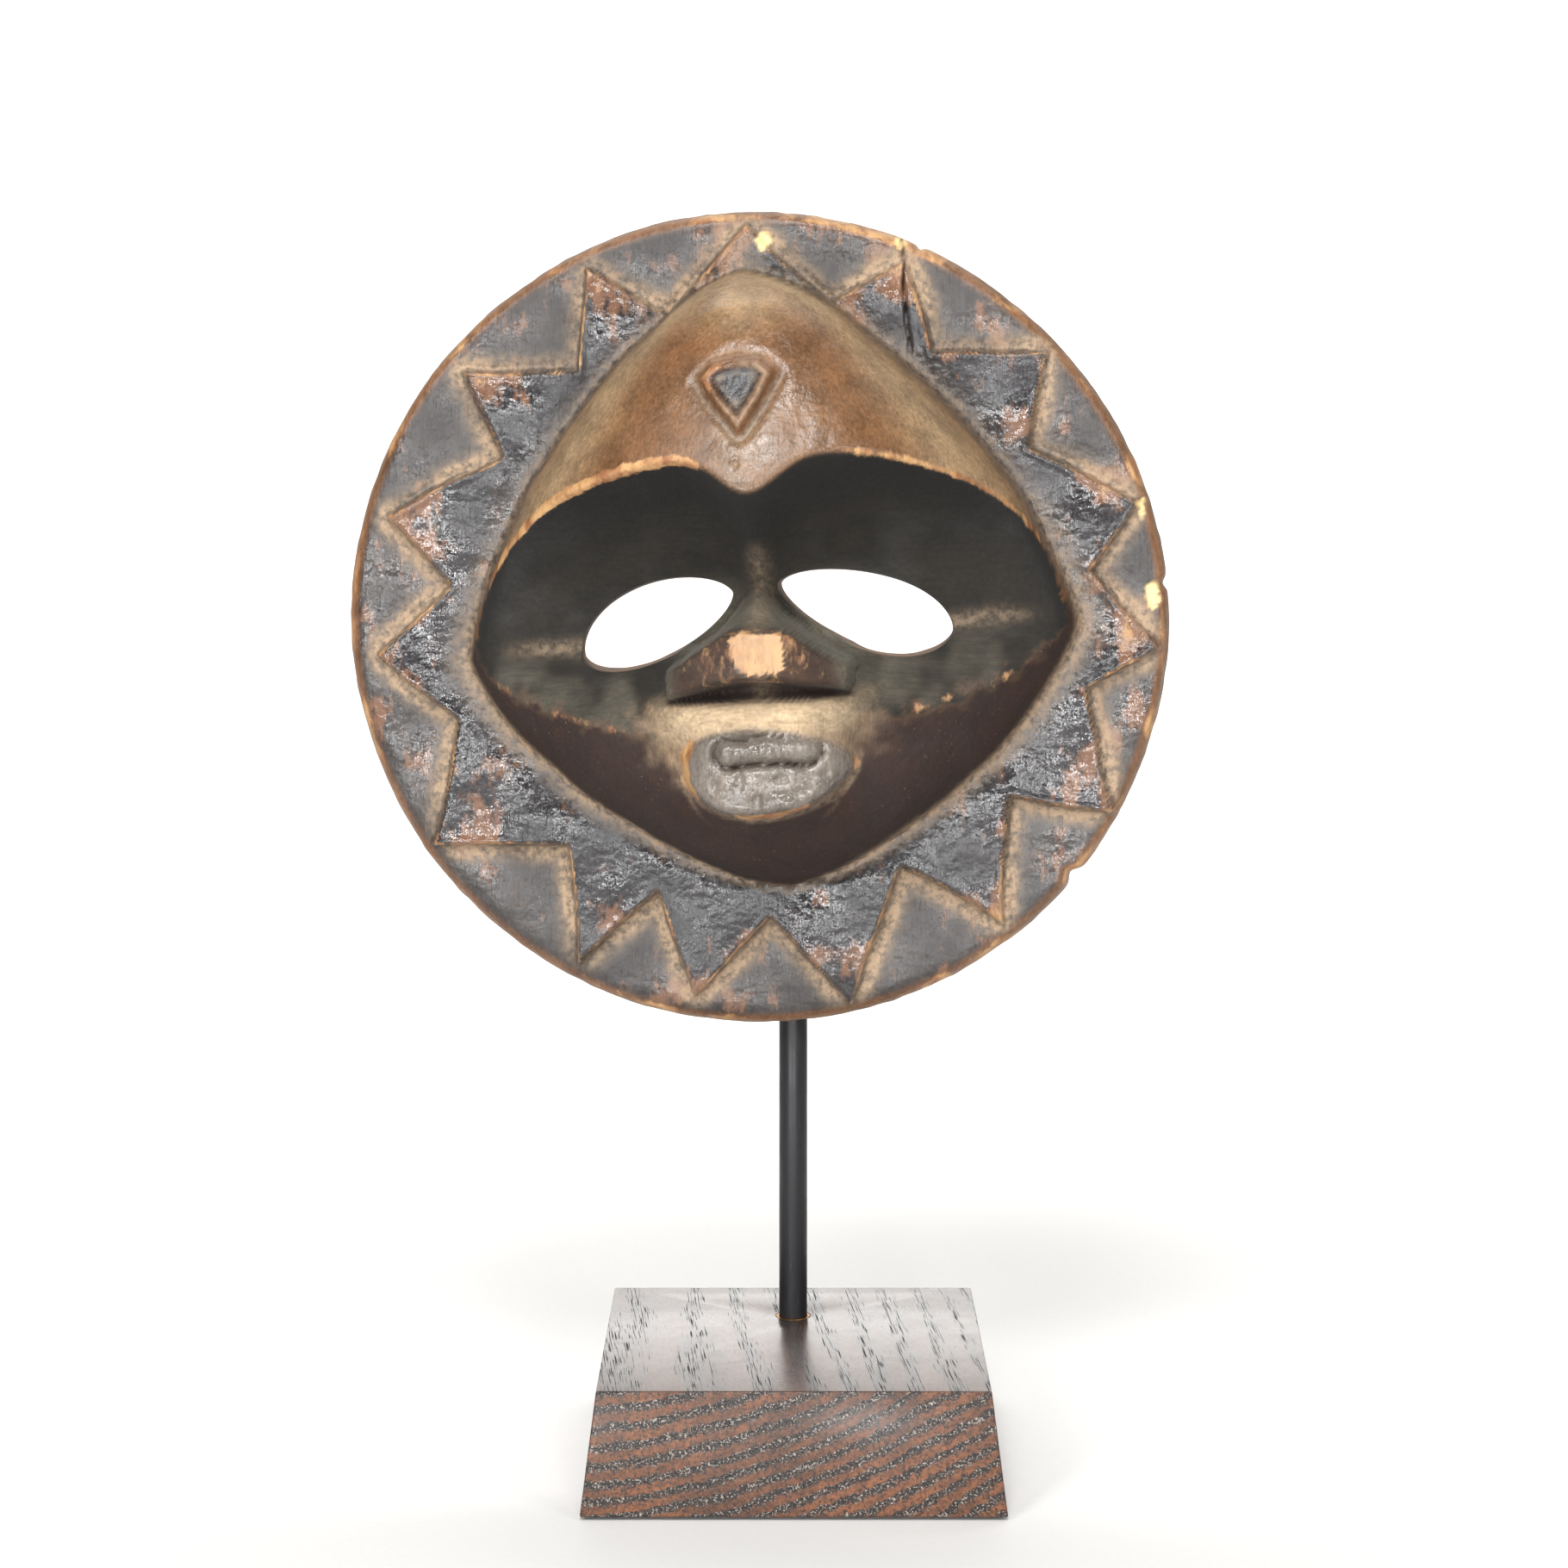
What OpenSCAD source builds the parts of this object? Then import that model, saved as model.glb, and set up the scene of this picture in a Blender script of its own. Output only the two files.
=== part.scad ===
// Carved wooden sun-ray mask on a swivelling display stand.
// Millimetres, +Z up, the mask looks along -Y, origin at the centre of the stand's underside.

/* [Stand] */
// Width of the base block at its lower edge
base_bottom = 112.8; // [95:0.1:140]
// Width of the base block at its upper edge
base_top = 104.2; // [85:0.1:130]
// Height of the wooden base block
base_h = 32.8; // [28:0.1:45]
// Thickness of the felt sheet under the base block
felt_t = 1; // [0.5:0.1:2]
// Gap between the felt's edge and the block's lower edge
felt_inset = 3; // [1:0.5:8]

/* [Post] */
// Diameter of the round steel post
post_d = 7.94; // [7:0.01:10]
// Distance of the post behind the middle of the base block
post_back = 22; // [10:0.5:30]
// Depth of the post in the base block
post_in = 24; // [18:0.5:27]
// Radial running clearance between the post and its sleeve
post_play = 0.05; // [0.01:0.01:0.1]
// Wall of the brass sleeve
sleeve_wall = 0.8; // [0.5:0.1:1.5]

/* [Saddle] */
// Width of the steel plate that carries the mask
plate_w = 58; // [50:1:70]
// Height of the steel plate
plate_h = 22; // [18:1:26]
// Thickness of the steel plate
plate_t = 3.2; // [2:0.1:4]
// Thickness of the felt pad between the plate and the wood
pad_t = 2.5; // [1:0.1:4]
// Distance of each screw from the post's axis
screw_x = 21; // [16:0.5:23]
// Depth of the flat on the post, where the plate is brazed on
flat_depth = 1; // [0.5:0.1:1.5]

/* [Mask] */
// Height of the disc's centre above the surface that the stand rests on
mask_z = 233.2; // [225:0.1:250]
// Sideways place of the disc's centre, measured from the post
mask_x = -8.2; // [-12:0.1:0]
// Turn of the mask on its post, positive towards its own right
mask_turn = 4.5; // [-20:0.5:20]
// Radius of the disc
disc_r = 111; // [105:0.5:116]
// Thickness of the disc
disc_t = 13.5; // [12:0.5:16]
// Depth of the zigzag recess between the rays
ray_depth = 3.5; // [2:0.5:4]

/* [Face] */
// Lean of the face in the plane of the disc
face_roll = 4.3; // [0:0.1:8]
// Half of the face's greatest width
face_half_w = 82.5; // [78:0.5:84]
// Height of the forehead's point above the widest place
face_up = 99; // [92:0.5:100]
// Depth of the chin below the widest place
face_down = 68; // [62:0.5:70]
// Depth of the hollow in the mask's back
hollow_depth = 16; // [12:0.5:17]

/* [Hidden] */
$fn = 64;

block_top = felt_t + base_h;
post_foot = block_top - post_in;
post_r = post_d / 2;
sleeve_r = post_r + post_play;
sleeve_floor = 1.5;          // closed end that the post stands on
rest_gap = 0.1;              // grease under the post's foot
plate_drop = 84;             // the plate's middle below the disc's centre
plate_z = mask_z - plate_drop;
post_top = plate_z + plate_h / 2;
plate_back = post_r - flat_depth;
disc_back = plate_back + plate_t + pad_t;
disc_front = disc_back + disc_t;
screw_r = 1.75;
screw_reach = 7;             // thread in the wood
screw_head_r = 3.3;
screw_head_h = 2.2;
screw_hole_r = 2;
pilot_r = 1.2;

face_x = 3.5;                // the face stands a little to the right of the disc's centre
face_mid = -5;               // height of the face's widest place
face_power = 1.42;           // 1 is a lozenge and 2 an ellipse
face_sink = 0.4;             // the carving's edge lies below the rays' surface
face_root = -6;              // depth at which the carving merges with the disc
cols = 46;
rows = 56;
row_trim = 0.6;              // the first and last rows stop short of the points

// Height of the carving along its middle line, before the eye hollow is cut: [v, w]
CREST = [[-73, 2], [-66, 14], [-56, 32], [-48, 42], [-30, 43], [-18, 42], [0, 48], [35, 50],
         [52, 43], [70, 34], [82, 25], [90, 15], [94, 5]];

// Points of the rays: [turn clockwise from the top in degrees, radius]
RAY_TIPS = [[-1.5, 106], [22.5, 104], [47, 106], [72.5, 108], [93.5, 109], [118.5, 109],
            [140.5, 106], [166.5, 109], [189.5, 105], [207.5, 107], [235, 109], [264.5, 105],
            [285.5, 105], [310, 104.5], [334, 105]];

// Inner corners between one ray and the next
RAY_ROOTS = [[12.5, 87], [33.5, 86], [57.5, 87], [81.5, 91.5], [101.5, 91], [125, 83.5],
             [149.5, 78], [177.5, 82], [200, 80], [220, 81], [251.5, 87.5], [276, 85],
             [302, 82.5], [323.5, 83], [343.5, 86]];

function polar_cw(p) = [p[1] * sin(p[0]), p[1] * cos(p[0])];
function blend(a, b, f) = a + (b - a) * f;
function clamp01(f) = min(1, max(0, f));

// Half width of the face's outline at height v
function half_w(v) =
    let (reach = v > face_mid ? face_up : face_down)
    face_half_w * pow(max(0, 1 - pow(abs(v - face_mid) / reach, face_power)), 1 / face_power);

// Carved form without the eye hollow: a crest with rounded flanks
function dome(s, v) =
    let (t = clamp01(abs(s) / max(0.1, half_w(v))))
    lookup(v, CREST) * pow(1 - pow(t, 2.3), v > -15 ? 0.5 : 0.6);

// Edge of the brow above the eye hollow, and the lip of the cheek below it
function brow(s) = 46 * pow(max(0, 1 - pow(abs(s) / 79, 2.3)), 0.5) - 11 * exp(-pow(s / 11, 2));
function cheek(s) = -26 * pow(max(0, 1 - pow(abs(s) / 80, 2.6)), 0.5);

// Floor of the eye hollow: deepest along a level crease, rising to the brow and to the cheek
crease = -4;
crease_w = 9;
function hollow(s, v) =
    v > crease
    ? let (f = clamp01((v - crease) / max(1, brow(s) - crease)))
      blend(crease_w, dome(s, brow(s)), 0.25 * f + 0.75 * pow(f, 4))
    : let (f = clamp01((crease - v) / max(1, crease - cheek(s))))
      blend(crease_w, dome(s, cheek(s)), pow(f, 1.3));

// Nose: a ramp from between the eyes to a blunt flat tip
nose_x = 1.5;
nose_w = 48;
nose_half = 25;
function nose_top(s) = -1 - 0.33 * max(0, s - 5);
function nose_root(s) = 33 * exp(-s / 16.5) - 13;
function nose(s, v) =
    let (a = abs(s - nose_x),
         up = clamp01((nose_root(a) - v) / max(1, nose_root(a) - nose_top(a))),
         side = clamp01((nose_half + 4 - a) / 4),
         under = clamp01((v + 19) / 5))
    nose_w * pow(up, 1.3) * side * under;

// Mouth: an oval block on the muzzle
mouth_u = 2.5;
mouth_v = -36.5;
mouth_half = [23.5, 11];
mouth_rise = 3;
function mouth(s, v) =
    let (d = norm([(s - mouth_u) / mouth_half[0], (v - mouth_v) / mouth_half[1]]))
    mouth_rise * clamp01((1 - d) * 5);

// Kite-shaped boss on the forehead, its long point down
kite_v = 67;
kite_half = 12;
kite_up = 8;
kite_down = 15;
kite_rise = 2.5;
function kite(s, v) =
    let (reach = v > kite_v ? kite_up : kite_down,
         d = abs(s) / kite_half + abs(v - kite_v) / reach)
    kite_rise * clamp01((1 - d) * 4);

function carved(s, v) =
    let (inside = v < brow(s) && v > cheek(s) && abs(s) < 79,
         skin = inside ? min(dome(s, v), hollow(s, v)) : dome(s, v))
    max(skin, nose(s, v)) + mouth(s, v) + kite(s, v) - face_sink;

// Slab seen from one side as a trapezium, as long as the block is wide
module tapered_slab() {
    rotate([90, 0, 0])
        linear_extrude(height = 2 * base_bottom, center = true)
            polygon([[-base_bottom / 2, felt_t], [base_bottom / 2, felt_t],
                     [base_top / 2, block_top], [-base_top / 2, block_top]]);
}

module base_block() {
    color("saddlebrown")
    difference() {
        intersection() {
            tapered_slab();
            rotate([0, 0, 90]) tapered_slab();
        }
        translate([0, post_back, post_foot - rest_gap - sleeve_floor])
            cylinder(r = sleeve_r + sleeve_wall, h = post_in + sleeve_floor + 1);
    }
}

module base_felt() {
    side = base_bottom - 2 * felt_inset;
    color("black")
    translate([-side / 2, -side / 2, 0])
        cube([side, side, felt_t]);
}

module socket_sleeve() {
    color("peru")
    translate([0, post_back, post_foot - rest_gap - sleeve_floor])
        difference() {
            cylinder(r = sleeve_r + sleeve_wall, h = post_in + rest_gap + sleeve_floor);
            translate([0, 0, sleeve_floor])
                cylinder(r = sleeve_r, h = post_in + 1);
        }
}

// Everything that turns with the post is drawn about the post's axis
module on_post() {
    translate([0, post_back, 0])
        rotate([0, 0, -mask_turn])
            children();
}

module post() {
    color("dimgray")
    on_post()
        difference() {
            translate([0, 0, post_foot])
                cylinder(r = post_r, h = post_top - post_foot);
            translate([-post_r, -post_r - flat_depth, post_top - plate_h])
                cube([post_d, 2 * flat_depth, plate_h + 1]);
        }
}

// Flat rectangle across the post with a hole for each screw
module saddle_layer(w, h, thick, back) {
    difference() {
        translate([-w / 2, -back - thick, plate_z - h / 2])
            cube([w, thick, h]);
        for (side = [-1, 1])
            translate([side * screw_x, -back + 1, plate_z])
                rotate([90, 0, 0])
                    cylinder(r = screw_hole_r, h = thick + 2);
    }
}

module saddle_plate() {
    color("gray")
    on_post() saddle_layer(plate_w, plate_h, plate_t, plate_back);
}

module saddle_pad() {
    color("darkolivegreen")
    on_post() saddle_layer(plate_w, plate_h, pad_t, plate_back + plate_t);
}

// Round-headed wood screw, its head on the back of the plate
module wood_screw(side) {
    on_post()
        translate([side * screw_x, -plate_back, plate_z])
            rotate([90, 0, 0])
                rotate_extrude()
                    polygon([[0, -screw_head_h], [screw_head_r * 0.6, -screw_head_h * 0.8],
                             [screw_head_r, 0], [screw_r, 0],
                             [screw_r, plate_t + pad_t + screw_reach - 2],
                             [0, plate_t + pad_t + screw_reach]]);
}

module screw_left() {
    color("goldenrod")
    wood_screw(-1);
}

module screw_right() {
    color("goldenrod")
    wood_screw(1);
}

// Disc with a rounded rim, its front at the bottom of the recesses
module disc() {
    rotate_extrude($fn = 96)
        polygon([[0, -disc_t], [disc_r - 3, -disc_t], [disc_r - 0.8, -disc_t + 2],
                 [disc_r, -disc_t / 2 - 1], [disc_r - 1, -ray_depth - 2],
                 [disc_r - 3, -ray_depth], [0, -ray_depth]]);
}

// Star whose points are the rays
module rays() {
    translate([0, 0, -ray_depth - 1])
        linear_extrude(height = ray_depth + 1)
            polygon([for (i = [0 : len(RAY_TIPS) - 1])
                     for (p = [RAY_TIPS[i], RAY_ROOTS[i]]) polar_cw(p)]);
}

// Carved face as one closed solid over a grid of rows and columns
module face() {
    low = face_mid - face_down + row_trim;
    high = face_mid + face_up - row_trim;
    heights = [for (j = [0 : rows]) blend(low, high, (1 - cos(180 * j / rows)) / 2)];
    top = [for (v = heights) for (i = [0 : cols])
           let (s = half_w(v) * sin(90 * (2 * i / cols - 1)))
           [s, v, carved(s, v)]];
    across = cols + 1;
    rim = concat([for (i = [0 : cols]) i],
                 [for (j = [1 : rows]) j * across + cols],
                 [for (i = [cols - 1 : -1 : 0]) rows * across + i],
                 [for (j = [rows - 1 : -1 : 1]) j * across]);
    n = len(rim);
    root = [for (k = rim) [top[k][0], top[k][1], face_root]];
    first = len(top);
    polyhedron(
        points = concat(top, root),
        faces = concat(
            [for (j = [0 : rows - 1]) for (i = [0 : cols - 1])
             let (a = j * across + i) [a + across, a + across + 1, a + 1]],
            [for (j = [0 : rows - 1]) for (i = [0 : cols - 1])
             let (a = j * across + i) [a + across, a + 1, a]],
            [for (k = [0 : n - 1]) [rim[k], rim[(k + 1) % n], first + (k + 1) % n]],
            [for (k = [0 : n - 1]) [rim[k], first + (k + 1) % n, first + k]],
            [[for (k = [0 : n - 1]) first + k]]),
        convexity = 8);
}

// Almond eye, its inner corner high: centre, half sizes and tilt
eye_u = 28.5;
eye_v = 1.5;
eye_half = [23, 10];
eye_tilt = 19;
module eye(side) {
    translate([side * eye_u, eye_v, -disc_t])
        rotate([0, 0, -side * eye_tilt])
            linear_extrude(height = 60)
                polygon([for (a = [0 : 12 : 348])
                         [eye_half[0] * cos(a), eye_half[1] * sin(a) * pow(abs(sin(a)), 0.25)]]);
}

module ellipsoid(at, half) {
    translate(at) scale(half) sphere(r = 1, $fn = 32);
}

// Hollow in the back: one wide bowl, deeper behind the forehead and behind the nose and mouth
module back_hollow() {
    ellipsoid([0, 8, -disc_t], [70, 60, hollow_depth]);
    ellipsoid([0, 54, -6], [28, 30, 26]);
    ellipsoid([1, -25, -10], [24, 22, 32]);
}

module mask() {
    color("sienna")
    on_post()
        translate([mask_x, -disc_front, mask_z])
            rotate([90, 0, 0])
                resize([0, 0, 0])
                    difference() {
                        union() {
                            disc();
                            rays();
                            rotate([0, 0, face_roll])
                                translate([face_x, 0, 0])
                                    face();
                        }
                        rotate([0, 0, face_roll])
                            translate([face_x, 0, 0]) {
                                back_hollow();
                                for (side = [-1, 1]) eye(side);
                            }
                        for (side = [-1, 1])
                            translate([side * screw_x - mask_x, -plate_drop, -disc_t - 1])
                                cylinder(r = pilot_r, h = screw_reach + 1, $fn = 12);
                    }
}

base_block();
base_felt();
socket_sleeve();
post();
saddle_plate();
saddle_pad();
screw_left();
screw_right();
mask();
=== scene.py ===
"""A carved wooden sun-ray mask on a steel post that turns in a small wooden stand.

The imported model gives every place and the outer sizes. This script carves the mask's relief, dresses
the stand, and gives each piece its finish. Carving sizes are in millimetres, scene sizes in metres.
"""

from __future__ import annotations

import logging
import math
from dataclasses import dataclass, field
from enum import Enum
from typing import Callable, Sequence

import bmesh
import bpy
import numpy as np
from mathutils import Euler, Matrix, Vector

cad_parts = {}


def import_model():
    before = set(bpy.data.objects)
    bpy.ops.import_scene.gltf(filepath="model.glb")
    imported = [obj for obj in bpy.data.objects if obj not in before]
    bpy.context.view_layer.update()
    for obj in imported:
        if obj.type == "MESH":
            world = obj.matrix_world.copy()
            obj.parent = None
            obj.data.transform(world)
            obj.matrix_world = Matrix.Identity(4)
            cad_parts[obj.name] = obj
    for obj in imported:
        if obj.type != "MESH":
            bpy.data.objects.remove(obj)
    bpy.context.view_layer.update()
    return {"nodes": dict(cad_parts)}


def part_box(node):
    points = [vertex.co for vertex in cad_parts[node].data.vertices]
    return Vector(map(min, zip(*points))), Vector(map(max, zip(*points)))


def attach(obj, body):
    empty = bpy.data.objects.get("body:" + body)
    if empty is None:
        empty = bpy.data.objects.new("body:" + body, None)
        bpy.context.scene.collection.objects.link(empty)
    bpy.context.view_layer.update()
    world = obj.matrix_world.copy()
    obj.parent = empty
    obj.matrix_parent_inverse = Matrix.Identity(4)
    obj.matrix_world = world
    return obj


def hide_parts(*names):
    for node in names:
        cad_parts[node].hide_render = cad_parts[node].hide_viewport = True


LOG = logging.getLogger("mask_scene")
MM = 0.001
Array = np.ndarray
Colour = tuple[float, float, float]
Socket = bpy.types.NodeSocket
Tree = bpy.types.NodeTree
Node = bpy.types.Node
Obj = bpy.types.Object
Material = bpy.types.Material


# ----- Numbers over a surface -----


def ease(low: float | Array, high: float | Array, x: Array) -> Array:
    """Return 0 at low, 1 at high and a smooth run between them; low may be the larger."""
    f = np.clip((x - low) / (high - low), 0.0, 1.0)
    return f * f * (3.0 - 2.0 * f)


def blend(a: float | Array, b: float | Array, f: float | Array) -> Array:
    """Return a where f is 0 and b where f is 1."""
    return a + (b - a) * f


def soft_max(a: Array, b: Array, reach: float) -> Array:
    """Return the larger of two heights, with a fillet where they cross.

    Args:
        a: First height.
        b: Second height.
        reach: Difference of height over which the fillet runs.

    Returns:
        The joined height.
    """
    h = np.clip(0.5 + 0.5 * (a - b) / reach, 0.0, 1.0)
    return blend(b, a, h) + reach * h * (1.0 - h)


def soft_min(a: Array, b: Array, reach: float) -> Array:
    """Return the smaller of two heights, with the edge between them rounded."""
    return -soft_max(-a, -b, reach)


def bump(x: Array, middle: float, width: float) -> Array:
    """Return a bell that is 1 at the middle and fades over the width."""
    return np.exp(-(((x - middle) / width) ** 2))


@dataclass(frozen=True)
class Profile:
    """A smooth line through a few given points."""

    points: Sequence[tuple[float, float]]

    def __call__(self, x: Array) -> Array:
        """Return the line's height at x, held level past its ends."""
        px = np.array([p[0] for p in self.points])
        py = np.array([p[1] for p in self.points])
        slope = np.gradient(py, px)
        x = np.clip(x, px[0], px[-1])
        k = np.clip(np.searchsorted(px, x, side="right") - 1, 0, len(px) - 2)
        span = px[k + 1] - px[k]
        t = (x - px[k]) / span
        return (
            py[k] * (1 + 2 * t) * (1 - t) ** 2
            + slope[k] * span * t * (1 - t) ** 2
            + py[k + 1] * t * t * (3 - 2 * t)
            + slope[k + 1] * span * t * t * (t - 1)
        )


@dataclass(frozen=True)
class Unevenness:
    """Seeded smooth noise, the same on every run."""

    seed: int

    def _lattice(self, ix: Array, iy: Array, turn: int = 0) -> Array:
        """Return a fixed random number from 0 to 1 for each lattice point."""
        n = (ix * 374761393 + iy * 668265263 + (self.seed * 7 + turn) * 1274126177) & 0xFFFFFFFF
        n = ((n ^ (n >> 13)) * 1103515245) & 0xFFFFFFFF
        return ((n ^ (n >> 16)) & 0xFFFF) / 65535.0

    def value(self, x: Array, y: Array) -> Array:
        """Return smooth noise from -1 to 1 with a grain of one unit."""
        ix, iy = np.floor(x).astype(np.int64), np.floor(y).astype(np.int64)
        fx, fy = ease(0.0, 1.0, x - ix), ease(0.0, 1.0, y - iy)
        low = blend(self._lattice(ix, iy), self._lattice(ix + 1, iy), fx)
        high = blend(self._lattice(ix, iy + 1), self._lattice(ix + 1, iy + 1), fx)
        return blend(low, high, fy) * 2.0 - 1.0

    def fractal(self, x: Array, y: Array, octaves: int = 3) -> Array:
        """Return noise with finer and fainter copies of itself added."""
        total = np.zeros_like(x)
        for k in range(octaves):
            total += self.value(x * 2**k + 17.3 * k, y * 2**k - 9.1 * k) * 0.5**k
        return total

    def scallops(self, x: Array, y: Array) -> Array:
        """Return the depth of gouge cuts: 1 in the middle of a cut, 0 on the ridges between cuts."""
        ix, iy = np.floor(x).astype(np.int64), np.floor(y).astype(np.int64)
        nearest = np.full(x.shape, 9.0)
        for dx in (-1, 0, 1):
            for dy in (-1, 0, 1):
                cx = ix + dx + 0.2 + 0.6 * self._lattice(ix + dx, iy + dy, 3)
                cy = iy + dy + 0.2 + 0.6 * self._lattice(ix + dx, iy + dy, 5)
                nearest = np.minimum(nearest, (x - cx) ** 2 + (y - cy) ** 2)
        return np.clip(1.0 - nearest / 0.6, 0.0, 1.0)


def distance_inside(x: Array, y: Array, corners: Sequence[tuple[float, float]]) -> Array:
    """Return how far each point lies inside an outline, negative outside it."""
    ring = np.array(corners, dtype=float)
    nearest = np.full(x.shape, 1e9)
    inside = np.zeros(x.shape, dtype=bool)
    for (ax, ay), (bx, by) in zip(ring, np.roll(ring, -1, axis=0)):
        ex, ey = bx - ax, by - ay
        t = np.clip(((x - ax) * ex + (y - ay) * ey) / (ex * ex + ey * ey), 0.0, 1.0)
        nearest = np.minimum(nearest, (x - ax - t * ex) ** 2 + (y - ay - t * ey) ** 2)
        if ay != by:
            crosses = (ay > y) != (by > y)
            inside ^= crosses & (x < ex * (y - ay) / (by - ay) + ax)
    return np.where(inside, 1.0, -1.0) * np.sqrt(nearest)


# ----- The carving -----


@dataclass(frozen=True)
class Spot:
    """A small place on the mask: where it is, how wide and how tall."""

    x: float
    y: float
    wide: float
    tall: float

    def cover(self, x: Array, y: Array) -> Array:
        """Return 1 at the spot's middle, falling to 0 just outside it."""
        return ease(1.25, 0.75, np.hypot((x - self.x) / self.wide, (y - self.y) / self.tall))


@dataclass(frozen=True)
class EyeHole:
    """An almond hole through the mask, its inner corner high."""

    side: int
    inner: float
    outer: float
    above: float
    below: float
    tilt: float = 19.7
    centre: tuple[float, float] = (28.5, 1.5)

    def outline(self, grow: float, count: int = 96) -> Array:
        """Return the hole's outline on the face, grown by a margin, anticlockwise."""
        a = np.arange(count) * 2.0 * math.pi / count
        along = np.where(np.cos(a) > 0, self.inner + grow, self.outer + grow) * np.cos(a)
        along -= 2.5 * np.sin(a) ** 2
        rise = np.where(np.sin(a) > 0, self.above + grow, self.below + grow)
        across = rise * np.sin(a) * np.abs(np.sin(a)) ** 0.22
        lean = math.radians(self.tilt)
        x = -(self.centre[0] - along * math.cos(lean) + across * math.sin(lean))
        y = self.centre[1] + along * math.sin(lean) + across * math.cos(lean)
        ring = np.stack([x, y], axis=1)
        return ring if self.side < 0 else (ring * [-1.0, 1.0])[::-1]


@dataclass
class Carving:
    """Heights of the mask's front and back over the plane of its disc, in millimetres.

    x runs to the right and y up in the plane of the disc. s and h are the same for the face, which
    leans a little. Heights are measured from the rays' surface, towards whoever faces the mask.
    """

    disc_r: float = 111.0
    disc_t: float = 13.5
    ray_depth: float = 4.0
    face_roll: float = 4.3
    face_x: float = 3.5
    face_half: float = 82.5
    face_mid: float = -5.0
    face_up: float = 99.0
    face_down: float = 68.0
    face_power: float = 1.42
    crease: float = -4.0
    crease_w: float = 9.0
    nose_x: float = -1.2
    nose_half: float = 25.4
    saddle: tuple[float, float] = (8.2, -84.0)
    ray_tips: tuple[tuple[float, float], ...] = (
        (-1.5, 106), (22.5, 104), (47, 106), (72.5, 108), (93.5, 109), (118.5, 109), (140.5, 106),
        (166.5, 109), (189.5, 105), (207.5, 107), (235, 109), (264.5, 105), (285.5, 105),
        (310, 104.5), (334, 105),
    )
    ray_roots: tuple[tuple[float, float], ...] = (
        (12.5, 87), (33.5, 86), (57.5, 87), (81.5, 91.5), (101.5, 91), (125, 83.5), (149.5, 78),
        (177.5, 82), (200, 80), (220, 81), (251.5, 87.5), (276, 85), (302, 82.5), (323.5, 83),
        (343.5, 86),
    )
    kite: tuple[tuple[float, float], ...] = (
        (-10.2, 66.0), (-6.9, 69.2), (-0.4, 70.6), (5.6, 69.4), (9.2, 66.0), (5.7, 59.6), (-0.6, 51.8),
        (-7.0, 60.0),
    )
    crest: Profile = Profile((
        (-73, 1), (-69, 11), (-62, 23), (-54, 31.5), (-46, 35), (-30, 35.5), (-18, 37), (0, 46),
        (20, 49), (35, 50), (45, 47.5), (58, 41.5), (70, 35), (80, 28.5), (86, 22.5), (91, 12),
        (94, 2),
    ))
    muzzle_crest: Profile = Profile((
        (-73, -8), (-62, 10), (-55, 27), (-50.5, 38), (-47, 42.5), (-38, 43.4), (-30, 43.2),
        (-23, 43.8), (-19, 41.5), (-16, 36), (-8, 14), (0, -8),
    ))
    eyes: tuple[EyeHole, ...] = (
        EyeHole(side=-1, inner=20.8, outer=23.2, above=11.2, below=8.4),
        EyeHole(side=1, inner=25.4, outer=22.2, above=9.2, below=10.2),
    )
    chips: tuple[Spot, ...] = (
        Spot(1.6, 101.5, 2.4, 2.0), Spot(38.6, 101.8, 1.6, 1.7), Spot(103.4, 30.6, 1.2, 2.0),
        Spot(106.6, 7.2, 1.6, 3.6),
    )
    lip_pits: tuple[Spot, ...] = (
        Spot(-6.5, -38.6, 0.9, 2.0), Spot(3.6, -38.8, 2.0, 1.0), Spot(-2.4, -43.4, 1.2, 1.3),
        Spot(9.5, -42.2, 2.0, 0.9), Spot(-13.5, -39.5, 0.9, 1.6), Spot(15.5, -38.5, 1.2, 1.2),
    )
    hand: Unevenness = field(default_factory=lambda: Unevenness(11))
    tool: Unevenness = field(default_factory=lambda: Unevenness(23))

    # ----- places -----

    def to_face(self, x: Array, y: Array) -> tuple[Array, Array]:
        """Turn a place on the disc into a place on the face."""
        a = math.radians(self.face_roll)
        return x * math.cos(a) + y * math.sin(a) - self.face_x, y * math.cos(a) - x * math.sin(a)

    def from_face(self, s: Array, h: Array) -> tuple[Array, Array]:
        """Turn a place on the face into a place on the disc."""
        a = math.radians(self.face_roll)
        s = s + self.face_x
        return s * math.cos(a) - h * math.sin(a), s * math.sin(a) + h * math.cos(a)

    def rim(self, turn: Array) -> Array:
        """Return the disc's radius towards each angle, with the maker's unevenness and two nicks."""
        r = self.disc_r - 0.3 - 1.05 * np.cos(turn) - 1.45 * np.sin(turn) + 0.55 * np.cos(2 * turn)
        r += 0.35 * self.hand.value(np.cos(turn) * 3.0 + 5.0, np.sin(turn) * 3.0)
        for angle, depth, width in ((-38.9, 1.8, 1.1), (5.3, 1.1, 0.7), (66.5, 0.8, 0.5)):
            off = np.degrees(np.arctan2(np.sin(turn - math.radians(angle)),
                                        np.cos(turn - math.radians(angle))))
            r -= depth * bump(off, 0.0, width)
        return r

    def wander(self, x: Array, y: Array) -> tuple[Array, Array]:
        """Shift each place a little, so that no cut is ruler-straight."""
        return (
            x + 0.55 * self.hand.fractal(x / 17.0, y / 17.0, 2),
            y + 0.55 * self.hand.fractal(x / 17.0 + 40.0, y / 17.0 + 40.0, 2),
        )

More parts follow.
